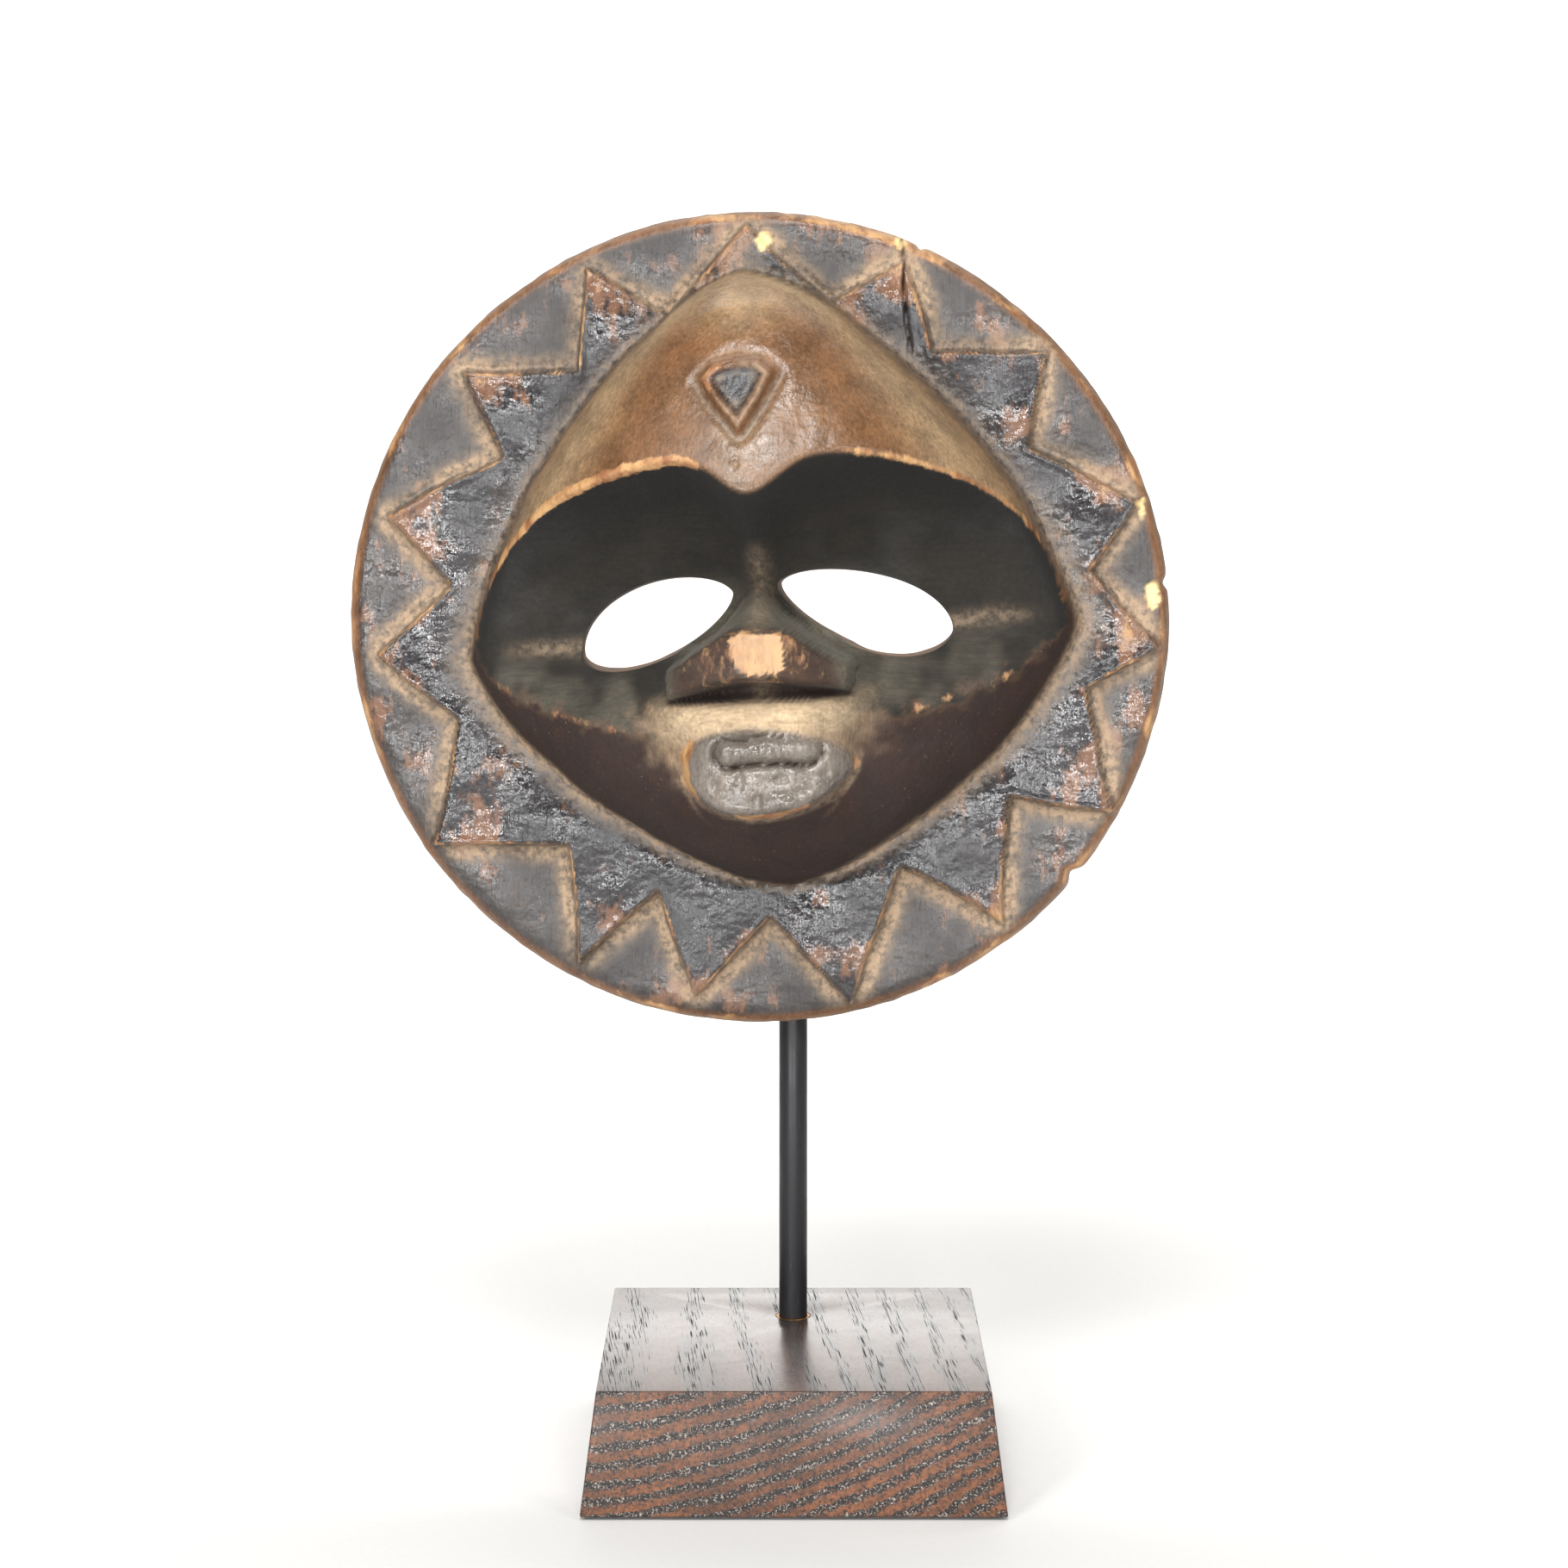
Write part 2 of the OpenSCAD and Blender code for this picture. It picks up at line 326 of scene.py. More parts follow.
    def ray_distance(self, x: Array, y: Array) -> Array:
        """Return how far a place lies inside the rays' outline, negative in a recess."""
        corners = []
        for tip, root in zip(self.ray_tips, self.ray_roots):
            for angle, radius in (tip, root):
                a = math.radians(angle)
                corners.append((radius * math.sin(a), radius * math.cos(a)))
        return distance_inside(x, y, corners)

    # ----- front -----

    def half_width(self, h: Array) -> Array:
        """Return half the face's width at a height."""
        reach = np.where(h > self.face_mid, self.face_up, self.face_down)
        t = np.clip(1.0 - (np.abs(h - self.face_mid) / reach) ** self.face_power, 0.0, 1.0)
        return self.face_half * t ** (1.0 / self.face_power)

    def dome(self, s: Array, h: Array) -> Array:
        """Return the carved form before the eye hollow is cut."""
        half = self.half_width(h)
        t = np.clip(np.abs(s) / np.maximum(half, 0.1), 0.0, 1.0)
        power = blend(0.78, 0.64, ease(-35.0, -5.0, h))
        past = np.maximum(np.abs(s) - half, 0.0) + self.past_ends(h)
        return self.crest(h) * (1.0 - t**2.3) ** power - 3.0 * past

    def past_ends(self, h: Array) -> Array:
        """Return how far a height lies above the forehead's point or below the chin."""
        top, chin = self.face_mid + self.face_up, self.face_mid - self.face_down
        return np.maximum(h - top, 0.0) + np.maximum(chin - h, 0.0)

    def brow(self, s: Array) -> Array:
        """Return the height of the brow's edge."""
        bow = 46.0 * np.sqrt(np.clip(1.0 - (np.abs(s) / 79.0) ** 2.3, 0.0, 1.0))
        return bow - 10.5 * np.exp(-(((s - 1.5) / 10.5) ** 2))

    def cheek(self, s: Array) -> Array:
        """Return the height of the cheek's edge, under the eye hollow."""
        return -26.0 * np.sqrt(np.clip(1.0 - (np.abs(s) / 80.0) ** 2.6, 0.0, 1.0))

    def cave(self, s: Array, h: Array) -> Array:
        """Return the floor of the eye hollow, deepest along its level crease."""
        brow, cheek = self.brow(s), self.cheek(s)
        floor = self.crease_w + 4.0 * ease(58.0, 80.0, np.abs(s))
        up = np.clip((h - self.crease) / np.maximum(brow - self.crease, 1.0), 0.0, 1.0)
        down = np.clip((self.crease - h) / np.maximum(self.crease - cheek, 1.0), 0.0, 1.0)
        upper = blend(floor, self.dome(s, brow), 0.28 * up + 0.72 * up**4.2)
        lower = blend(floor, self.dome(s, cheek), down ** blend(0.72, 1.15, ease(28.0, 62.0, np.abs(s))))
        w = np.where(h > self.crease, upper, lower)
        w += 6.5 * bump(s, 0.0, 4.5) * ease(2.0, 14.0, h) * ease(36.0, 24.0, h)
        return w + 3.0 * np.maximum(h - brow, 0.0) + 3.0 * np.maximum(cheek - h, 0.0)

    def nose(self, s: Array, h: Array) -> Array:
        """Return the nose: a ramp from between the eyes to a blunt, flat tip."""
        a = np.abs(s - self.nose_x)
        root = 33.0 * np.exp(-a / 16.5) - 13.0
        wing = np.maximum(a - 5.5, 0.0)
        top = -0.4 - 0.26 * wing - 0.014 * wing**2
        up = np.clip((root - h) / np.maximum(root - top, 1.5), 0.0, 1.0)
        sill = -11.6 - 4.6 * (a / self.nose_half) ** 2
        under = ease(sill - 4.0, sill, h)
        gap = -np.max([distance_inside(s, h, eye.outline(0.0, 20)) for eye in self.eyes], axis=0)
        side = ease(self.nose_half + 2.8, self.nose_half - 2.2, a)
        tip = 48.8 - 0.10 * (h + 6.0) - 9.0 * (a / self.nose_half) ** 2.4
        below = ease(-25.0, -19.5, h)
        ramp = up**1.3 * side * below * ease(0.7, 3.4, gap) * (tip - 12.0 * (1.0 - under))
        return ramp - 0.5 * self.nose_flat(s, h)

    def nose_flat(self, s: Array, h: Array) -> Array:
        """Return 1 on the flat worn place at the tip of the nose."""
        return ease(-0.3, 0.5, distance_inside(
            s, h, ((-7.4, -1.6), (-3.6, 0.2), (6.6, -0.4), (7.2, -10.4), (-2.0, -11.4), (-6.0, -9.6))))

    def muzzle(self, s: Array, h: Array) -> Array:
        """Return the raised block that carries the mouth."""
        half = 31.0 - 0.62 * np.clip(-32.0 - h, 0.0, 30.0) + 5.0 * ease(-30.0, -19.0, h)
        a = np.abs(s - self.nose_x)
        body = np.sqrt(1.0 - np.clip(a / half, 0.0, 1.0) ** 3.2)
        past = np.maximum(a - half, 0.0) + self.past_ends(h)
        return self.muzzle_crest(h) * body - 3.0 * past

    def mouth_distance(self, s: Array, h: Array) -> Array:
        """Return 0 in the middle of the mouth and 1 on its edge."""
        x, y = s - 0.4, h + 37.2
        y = y + 0.10 * x * ease(0.0, 1.0, y)
        half = 23.0 - blend(2.0, 7.0, ease(0.0, 1.0, x)) * ease(2.0, -11.0, y)
        return ((np.abs(x) / half) ** 2.3 + (np.abs(y) / 11.4) ** 2.3) ** (1 / 2.3)

    def lip_bar(self, s: Array, h: Array) -> Array:
        """Return the distance from the middle line of the upper lip."""
        sway = h + 31.6 + 0.7 * self.tool.value(s / 5.0, h / 9.0)
        return np.hypot(np.maximum(np.abs(s - 1.0) - 10.4, 0.0), sway)

    def mouth(self, s: Array, h: Array) -> Array:
        """Return the relief of the lips on the muzzle."""
        edge = self.mouth_distance(s, h)
        block = (2.6 + 1.6 * ease(-34.0, -44.0, h)) * ease(1.04, 0.9, edge) + 0.9 * bump(edge, 0.8, 0.13)
        bar = self.lip_bar(s, h)
        lip = 1.9 * ease(3.2, 1.2, bar) - 2.2 * bump(bar, 3.9, 0.8)
        lip += 0.3 * np.cos(1.75 * s) * ease(2.8, 1.0, bar)
        pits = np.zeros_like(s)
        for spot in self.lip_pits:
            pits += 1.1 * spot.cover(s, h)
        pits += 0.45 * self.tool.value(s / 2.6, h / 3.4) * ease(-35.0, -37.0, h)
        return block + (lip - pits) * ease(1.0, 0.85, edge)

    def forehead_marks(self, s: Array, h: Array) -> Array:
        """Return the relief of the kite-shaped boss and the arc above it."""
        d = distance_inside(s, h, self.kite)
        lower = ease(69.0, 63.0, h)
        w = 2.2 * ease(-1.0, 0.7, d) + 1.2 * bump(d, 1.3, 1.0) - 0.9 * ease(2.0, 3.6, d)
        w -= (0.1 + 1.1 * lower) * bump(d, -1.9, 1.1)
        arc = np.hypot(s + 0.4, (h - 57.0) * 0.86)
        w += 0.35 * bump(arc, 15.3, 1.4) * ease(64.0, 69.0, h)
        return w - 1.6 * bump(np.hypot(s + 1.5, h - 43.6), 0.0, 0.8)

    def face(self, s: Array, h: Array) -> Array:
        """Return the whole carved face over its own plane."""
        skin = soft_min(self.dome(s, h), self.cave(s, h), 3.0)
        skin = soft_max(skin, self.muzzle(s, h), 8.0)
        skin = soft_max(skin, self.nose(s, h), 1.2)
        outside = np.maximum(np.abs(s) - self.half_width(h), 0.0) + self.past_ends(h)
        return skin + self.mouth(s, h) + self.forehead_marks(s, h) - 0.5 - 3.0 * outside

    def ring(self, x: Array, y: Array) -> Array:
        """Return the flat of the disc with its rays and recesses."""
        r = np.hypot(x, y)
        d = self.ray_distance(x, y)
        floor = -blend(self.ray_depth - 1.5, self.ray_depth, ease(107.0, 88.0, r))
        w = blend(floor, 0.0, ease(-0.95, 0.55, d))
        w -= 0.45 * bump(d, -1.5, 0.7)
        w += 0.3 * bump(d, 1.0, 0.9)
        s, h = self.to_face(x, y)
        foot = np.abs(s) - self.half_width(h) + self.past_ends(h)
        w -= 1.3 * bump(foot, 0.0, 9.0) * ease(-4.0, 0.0, d)
        return w + 0.75 * self.hand.fractal(x / 19.0, y / 19.0, 2)

    def bevel(self, x: Array, y: Array) -> Array:
        """Return how far the worn rim falls away, wider along the disc's lower left."""
        turn = np.arctan2(y, x)
        width = 3.0 + 2.6 * np.clip(-np.cos(turn - math.radians(62.0)), 0.0, 1.0)
        t = np.clip(1.0 - (self.rim(turn) - np.hypot(x, y)) / width, 0.0, 1.0)
        return (2.2 + 0.5 * (width - 3.0)) * (1.0 - np.sqrt(1.0 - t**2 * 0.98))

    def crack(self, x: Array, y: Array) -> Array:
        """Return 1 along the thin crack that runs in from the rim."""
        line = 38.6 + 0.075 * (103.0 - y) + 0.5 * self.hand.value(y / 5.0, y * 0.0 + 3.0)
        return bump(x, line, 0.42) * ease(70.0, 74.0, y) * ease(109.0, 104.0, y)

    def chip(self, x: Array, y: Array) -> Array:
        """Return 1 where a flake of wood has broken away."""
        ragged_x = x + 0.9 * self.tool.fractal(x / 1.6, y / 1.6, 2)
        ragged_y = y + 0.9 * self.tool.fractal(x / 1.6 + 9.0, y / 1.6, 2)
        return np.max([c.cover(ragged_x, ragged_y) for c in self.chips], axis=0)

    def front(self, x: Array, y: Array) -> Array:
        """Return the height of the front over the plane of the disc."""
        wx, wy = self.wander(x, y)
        s, h = self.to_face(wx, wy)
        w = soft_max(self.ring(wx, wy), self.face(s, h), 6.0) - self.bevel(x, y)
        w += 0.16 * self.hand.fractal(x / 7.0, y / 7.0, 3)
        w -= 0.14 * self.tool.scallops(x / 6.0, y / 9.0)
        return w - 0.6 * self.crack(x, y) - 0.5 * self.chip(x, y)

    # ----- back -----

    def bowl(self, s: Array, h: Array, at: tuple[float, float, float],
             half: tuple[float, float, float]) -> Array:
        """Return the ceiling of one hollow: a soft-edged dish.

        Args:
            s: Place across the face.
            h: Place up the face.
            at: The dish's middle, and the height of its edge.
            half: Its half width, half height and depth.

        Returns:
            The height of the wood over the hollow.
        """
        t = 1.0 - ((s - at[0]) / half[0]) ** 2 - ((h - at[1]) / half[1]) ** 2
        return at[2] + half[2] * np.tanh(2.2 * t)

    def back(self, x: Array, y: Array) -> Array:
        """Return the height of the back, hollowed for the wearer's face."""
        s, h = self.to_face(x, y)
        flat = np.full(x.shape, -self.disc_t)
        w = soft_max(flat, self.bowl(s, h, (0, 8, -self.disc_t), (70, 60, 26)), 5.0)
        w = soft_max(w, self.bowl(s, h, (0, 44, -10), (40, 40, 26)), 16.0)
        w = soft_max(w, self.bowl(s, h, (1, -22, -10), (36, 30, 30)), 16.0)
        w = soft_min(w, self.face(s, h) - 9.0, 7.0)
        w = np.maximum(w, -self.disc_t)
        inside = ease(-self.disc_t + 0.3, -self.disc_t + 4.0, w)
        px, py = np.abs(x - self.saddle[0]), np.abs(y - self.saddle[1])
        seat = ease(36.0, 31.0, px) * ease(18.0, 13.0, py)
        cuts = blend(0.45, 0.9, inside) * self.tool.scallops(x / 8.0 + 3.0, y / 13.0)
        cuts += 0.25 * (1.0 + self.hand.fractal(x / 16.0, y / 16.0, 2))
        return np.minimum(w + cuts * (1.0 - seat), self.front(x, y) - 4.0)


# ----- Paint for the carving: colours, wear and painted light and shade that follow its shape -----


def tint(red: int, green: int, blue: int) -> Colour:
    """Return a display colour of 0 to 255 as the linear values that a shader takes."""
    def linear(c: float) -> float:
        """Return one channel of 0 to 1 as its linear value."""
        return c / 12.92 if c <= 0.04045 else ((c + 0.055) / 1.055) ** 2.4

    return tuple(linear(v / 255.0) for v in (red, green, blue))


def layered(base: Array, coats: Sequence[tuple[Colour, Array]]) -> Array:
    """Lay coats of colour over a list of colours in turn, each where its cover is 1."""
    for colour, cover in coats:
        base = blend(base, np.array(colour)[None, :], cover[:, None])
    return base


class Zones:
    """Which part of the front each place is on, as covers from 0 to 1, and its distances."""

    def __init__(self, c: Carving, patches: Unevenness, x: Array, y: Array) -> None:
        """Work out the zones.

        Args:
            c: The carving.
            patches: The noise that breaks up the paint.
            x: Place to the right on the disc.
            y: Place up on the disc.
        """
        wx, wy = c.wander(x, y)
        s, h = c.to_face(wx, wy)
        self.s, self.h = s, h
        self.r = np.hypot(x, y)
        self.d = c.ray_distance(wx, wy)
        self.spread = patches.fractal(x / 13.0, y / 13.0, 3)
        self.fine = patches.fractal(x / 3.2 + 50.0, y / 3.2, 3)
        self.half = c.half_width(h)
        self.brow, self.cheek = c.brow(s), c.cheek(s)
        self.kite = distance_inside(s, h, c.kite)
        self.lips = c.mouth_distance(s, h)
        self.rim_gap = c.rim(np.arctan2(y, x)) - self.r
        self.rim_zone = ease(3.2, 0.6, self.rim_gap)
        self.in_face = ease(0.6, -1.4, np.abs(s) - self.half)
        self.in_face = self.in_face * ease(95.0, 93.0, h) * ease(-74.0, -72.0, h)
        self.mouth = ease(1.04, 0.95, self.lips)
        self.above = self.in_face * ease(-0.8, 0.8, h - self.brow)
        self.below = self.in_face * ease(2.0, -3.0, h - self.cheek + 3.0 * self.fine)
        self.hollow = self.in_face * (1.0 - self.above) * (1.0 - self.below)
        nose = c.nose(s, h)
        self.nose = self.in_face * ease(0.0, 3.0, nose - np.maximum(c.cave(s, h), c.muzzle(s, h)) - 1.0)
        self.nose_face = ease(-19.5, -17.5, h) * ease(41.0, 45.0, nose)
        self.nose_flat = self.in_face * c.nose_flat(s, h)
        self.middle = bump(np.hypot(s / 1.1, h - 47.0), 0.0, 21.0) * self.above


@dataclass(frozen=True)
class PatinaAndPaintedLight:
    """Which colour, wear and dust each place of the carving has, with painted light and shade, worked out
    from its relief.
    """

    carving: Carving
    slate: Colour = tint(37, 35, 37)
    recess: Colour = tint(54, 50, 48)
    brown: Colour = tint(98, 65, 38)
    # painted sheen: the light that the forehead's flanks and upturned top catch
    painted_sheen: Colour = tint(142, 120, 90)
    # the forehead's greyer middle: its own tone, lightened as a painted highlight
    forehead_middle_lit: Colour = tint(104, 82, 62)
    cave: Colour = tint(21, 17, 11)
    # painted shadow: the eye hollow darkened under the brow's overhang
    brow_shadow: Colour = tint(11, 8, 5)
    # painted light: the hollow's grey-green where light falls on it, beside and on the nose and in the
    # hollow's lower half
    lit_grey_green: Colour = tint(84, 79, 66)
    wing: Colour = tint(50, 34, 24)
    # painted shadow, laid under the nose, under the upper lip's bar and in the groove under the kite
    shade: Colour = tint(34, 22, 15)
    flank: Colour = tint(34, 14, 4)
    muzzle: Colour = tint(134, 112, 88)
    # the pale band over the upper lip: its own tone, partly a painted highlight where it faces up to the
    # light
    band: Colour = tint(158, 138, 110)
    lips: Colour = tint(104, 96, 88)
    rim: Colour = tint(108, 74, 48)
    raw: Colour = tint(128, 92, 60)
    touched: Colour = tint(92, 62, 42)
    patches: Unevenness = field(default_factory=lambda: Unevenness(41))

    def bend(self, x: Array, y: Array, reach: float) -> Array:
        """Return how hollow the surface is within a reach: above 0 in a hollow, below 0 on an edge."""
        around = np.zeros_like(x)
        for k in range(8):
            a = k * math.pi / 4.0
            around += self.carving.front(x + reach * math.cos(a), y + reach * math.sin(a))
        return around / 8.0 - self.carving.front(x, y)

    def marks(self, x: Array, y: Array, w: Array, looks_out: Array) -> dict[str, Array]:
        """Return the paint at each place.

        Args:
            x: Place to the right on the disc.
            y: Place up on the disc.
            w: Height over the disc's plane.
            looks_out: 1 where the surface faces forwards, -1 where it faces back.

        Returns:
            Arrays by name: the tone as colours, and the marks as 0 to 1.
        """
        c = self.carving
        z = Zones(c, self.patches, x, y)
        behind = ease(1.5, 4.0, c.front(x, y) - w)
        back = behind * ease(0.3, -0.2, looks_out)
        wall = behind * (1.0 - back)
        plain = 1.0 - np.maximum(back, wall)
        touched = back * ease(-c.disc_t + 2.0, -c.disc_t + 8.0, w)
        tone = layered(self.front_tone(z), (
            (self.rim, wall * ease(4.0, 2.0, z.rim_gap)),
            (self.cave, wall * ease(2.0, 4.0, z.rim_gap)),
            (self.raw, back),
            (self.touched, 0.7 * touched),
        ))
        level = {
            "wear": self.wear(z, x, y) * plain + 0.35 * wall,
            "dust_and_highlight": self.dust_and_highlight(z, x, y) * plain + 0.2 * back,
            "bare": c.chip(x, y) * plain,
            "gloss": self.gloss(z, x) * plain + 0.22 * back + 0.4 * wall,
            "scuff": self.scuff(z) * plain,
            "speck": (0.5 * z.below * (1.0 - z.mouth) + 0.5 * z.above) * plain,
            "level": z.hollow * plain,
            "crack": c.crack(x, y) * plain,
        }
        return {name: np.clip(values, 0.0, 1.0) for name, values in {"tone": tone, **level}.items()}

    def front_tone(self, z: Zones) -> Array:
        """Return the front's colour: its stains, with painted shadow in the hollow and under the nose and
        lip, and painted sheen and highlights where it faces the light.
        """
        c, s, h, side = self.carving, z.s, z.h, np.abs(z.s)
        # where the forehead's flanks turn towards the light: they get painted sheen
        side_light = bump(side / np.maximum(z.half, 1.0), 0.86, 0.16) * ease(10.0, 30.0, h)
        # painted light on the hollow beside the nose, where its sides face the light
        lit_beside_nose = bump(np.abs(s - 1.5), 15.0, 9.0) * ease(16.0, 4.0, h)
        lit_lower_hollow = z.hollow * ease(c.crease + 1.0, c.crease - 8.0, h)
        # 1 on the face's left, falling to a quarter towards its right: painted light from the left on the
        # muzzle and the lip band
        left = blend(1.0, 0.25, ease(-8.0, 24.0, s))
        reach = np.hypot((s - c.nose_x) / 31.0, np.minimum(h + 26.0, 0.0) / 17.0)
        wide_muzzle = ease(1.2, 0.62, reach + 0.12 * z.fine) * ease(-15.5, -18.5, h)
        band = ease(-17.8, -20.5, h) * ease(-31.0, -25.0, h) * ease(30.0, 18.0, np.abs(s + 3.0))
        # painted shadow under the nose's arched lower edge
        arched = h + 4.0 * ((s - c.nose_x) / c.nose_half) ** 2
        under_nose = z.in_face * ease(-12.4, -14.4, arched) * ease(-19.4, -18.2, h)
        under_nose *= ease(26.5, 23.5, np.abs(s - c.nose_x))
        # painted shadow in the groove round the upper lip's bar, strongest below it
        parting_shadow = z.mouth * bump(c.lip_bar(s, h), 3.8, 0.7) * blend(0.12, 0.85, ease(-30.0, -34.0, h))
        # the forehead's upturned top: painted sheen, which also stands for the dust on its edges
        lit_apex = z.in_face * ease(70.0, 88.0, h - 0.25 * side)
        return layered(np.tile(np.array(self.slate), (len(s), 1)), (
            (self.recess, 0.8 * ease(1.0, -2.5, z.d)),
            (self.brown, z.in_face),
            (self.painted_sheen, 0.75 * z.above * side_light),
            # greyer middle of the forehead, partly a painted highlight
            (self.forehead_middle_lit, np.clip(z.middle * (0.9 + 0.5 * z.spread), 0, 1)),
            (self.flank, z.below),
            (self.cave, z.hollow),
            # painted shadow under the brow, strongest next to it
            (self.brow_shadow, 0.8 * z.hollow * ease(-26.0, -3.0, h - z.brow)),
            # painted light beside the nose and on the hollow's upturned lower half
            (self.lit_grey_green, 0.8 * z.hollow * lit_beside_nose),
            (self.lit_grey_green, 0.45 * lit_lower_hollow * ease(-0.5, 0.6, z.spread)),
            # the muzzle's tan and the lip band, both lighter on the left as painted light
            (self.muzzle, wide_muzzle * blend(left, 1.0, 0.3)),
            (self.band, band * blend(0.55, 1.0, left)),
            # painted light on the nose's upper sides
            (self.lit_grey_green, z.nose * (1.0 - z.nose_face) * 0.6),
            (self.wing, z.nose * z.nose_face),
            (self.shade, under_nose),
            (self.lips, z.mouth),
            (self.shade, parting_shadow * blend(1.0, 0.6, ease(-0.4, 0.5, z.fine))),
            # painted shade in the lower part of the groove round the kite
            (self.shade, 0.6 * z.in_face * bump(z.kite, -1.7, 0.8) * ease(70.0, 63.0, h)),
            (self.brown, ease(-1.2, -0.2, z.kite)),
            (self.slate, ease(1.7, 2.9, z.kite)),
            (self.painted_sheen, 0.7 * lit_apex * ease(0.5, -0.5, z.kite)),
            (self.rim, z.rim_zone),
        ))

    def wear(self, z: Zones, x: Array, y: Array) -> Array:
        """Return how much stain is rubbed off: on the brow, cheeks, tips, nose, lips, kite and rim."""
        s, h, side = z.s, z.h, np.abs(z.s)
        brow_edge = z.in_face * bump(h - z.brow, 0.4, 1.5) * ease(80.0, 74.0, side)
        left_brow = ease(-8.0, -16.0, s) * blend(1.0, 0.6, ease(-55.0, -70.0, s))
        cheek_edge = z.in_face * bump(h - z.cheek, -0.5, 2.0) * ease(80.0, 74.0, side)
        tips = ease(88.0, 103.0, z.r) * ease(-0.5, 2.0, z.d)
        low_lip = np.maximum.reduce([
            ease(-41.5, -44.5, h) * ease(12.0, 8.0, np.abs(s - 0.5)),
            ease(-17.5, -19.5, s),
            ease(21.0, 23.5, s),
        ])
        return np.maximum.reduce([
            brow_edge * (left_brow + 0.42 * ease(20.0, 34.0, s) + 0.2),
            0.34 * cheek_edge * ease(24.0, 40.0, side),
            0.5 * ease(0.35, 0.8, -self.bend(x, y, 1.3)) * (1.0 - z.in_face),
            tips * blend(0.12, 0.5, ease(-0.6, 0.9, z.spread)),
            0.76 * z.nose_flat,
            0.36 * z.nose * z.nose_face * ease(-18.0, -15.0, h),
            0.85 * z.in_face * bump(z.lips, 0.97, 0.1) * low_lip,
            0.7 * bump(z.kite, 1.0, 1.2) * ease(-2.0, -6.0, s) * ease(60.0, 64.0, h),
            z.rim_zone * blend(0.25, 0.75, ease(-0.5, 0.8, z.spread)),
        ])

    def dust_and_highlight(self, z: Zones, x: Array, y: Array) -> Array:
        """Return how much dust lies at the rays' feet, round the face and in its folds; the crease fold
        and the kite's rim also get a painted highlight in the same pale colour.
        """
        s, h, side = z.s, z.h, np.abs(z.s)
        patchy = ease(-0.7, 0.5, self.patches.fractal(x / 19.0 + 7.0, y / 19.0, 2))
        foot = 1.1 * np.where(z.d < 1.0, bump(z.d, -1.9, 2.1), 0.0)
        foot += 0.5 * ease(-8.0, -2.0, z.d) * ease(0.4, -0.6, z.d)
        foot *= (1.0 - z.in_face) * ease(111.0, 105.0, z.r) * blend(0.4, 1.0, patchy)
        beside = (1.0 - z.in_face) * ease(-74.0, -70.0, h)
        skirt = beside * bump(side - z.half, 1.2, 4.6) * blend(0.3, 1.0, ease(36.0, -16.0, h))
        # the crease at the hollow's outer corners: dust, and a painted highlight where its lower side
        # faces up to the light
        fold_dust_and_highlight = bump(h, self.carving.crease + 1.0, 2.2) * ease(43.0, 50.0, side) * ease(76.0, 60.0, side)
        return np.maximum.reduce([
            0.85 * foot,
            0.8 * skirt,
            0.4 * z.hollow * fold_dust_and_highlight,
            0.35 * ease(0.3, 1.0, self.bend(x, y, 3.0)) * (1.0 - z.mouth) * (1.0 - z.hollow),
            0.3 * z.hollow * bump(s, 0.0, 3.0) * ease(24.0, 16.0, h),
            0.5 * z.nose_flat,
            # the kite's rim on its right and lower side: dust, and a painted highlight where the rim
            # catches the light
            0.5 * bump(z.kite, 1.6, 1.1) * ease(-3.0, 1.0, s + (67.0 - h) * 0.4),
        ])

    def gloss(self, z: Zones, x: Array) -> Array:
        """Return how well the wax is polished."""
        gloss = blend(0.66, 0.86, ease(-0.9, 0.6, z.d)) + 0.12 * ease(55.0, 95.0, np.abs(x))
        gloss -= 0.3 * ease(-0.5, -2.5, z.d) * ease(-5.0, -2.0, z.d)
        for level, cover in ((0.66, z.in_face), (0.74, z.middle), (0.0, z.hollow), (0.26, z.below),
                             (0.97, z.mouth), (0.9, z.nose_flat * ease(-1.0, -3.0, z.s))):
            gloss = blend(gloss, level, cover)
        return np.clip(gloss + 0.2 * z.spread, 0.0, 1.0)

    def scuff(self, z: Zones) -> Array:
        """Return how scuffed the stain is, most towards the rim."""
        on_ring = blend(0.3, 0.5, ease(-0.5, 0.5, z.d)) * blend(0.6, 1.25, ease(80.0, 104.0, z.r))
        return (1.0 - z.in_face) * on_ring * (0.8 + 0.6 * z.spread) + 0.12 * z.above


# ----- Meshes -----


def new_object(name: str, points: Array, faces: Sequence[Sequence[int]] | Array) -> Obj:
    """Make a mesh object at the origin and put it in the scene.

    Args:
        name: The piece's name.
        points: One row of x, y and z for each vertex, in metres.
        faces: Vertex numbers of each face.

    Returns:
        The new object.
    """
    mesh = bpy.data.meshes.new(name)
    mesh.from_pydata(np.asarray(points).tolist(), [], [list(map(int, f)) for f in faces])
    mesh.update()
    obj = bpy.data.objects.new(name, mesh)
    bpy.context.collection.objects.link(obj)
    return obj


def baked(obj: Obj, name: str | None = None) -> Obj:
    """Turn an object's modifiers into plain mesh and remove them."""
    graph = bpy.context.evaluated_depsgraph_get()
    mesh = bpy.data.meshes.new_from_object(obj.evaluated_get(graph), depsgraph=graph)
    obj.modifiers.clear()
    obj.data = mesh
    if name:
        obj.name = name
    mesh.name = obj.name
    return obj


def read_points(mesh: bpy.types.Mesh) -> Array:
    """Return a mesh's vertices as rows of x, y and z."""
    flat = np.empty(len(mesh.vertices) * 3)
    mesh.vertices.foreach_get("co", flat)
    return flat.reshape(-1, 3)


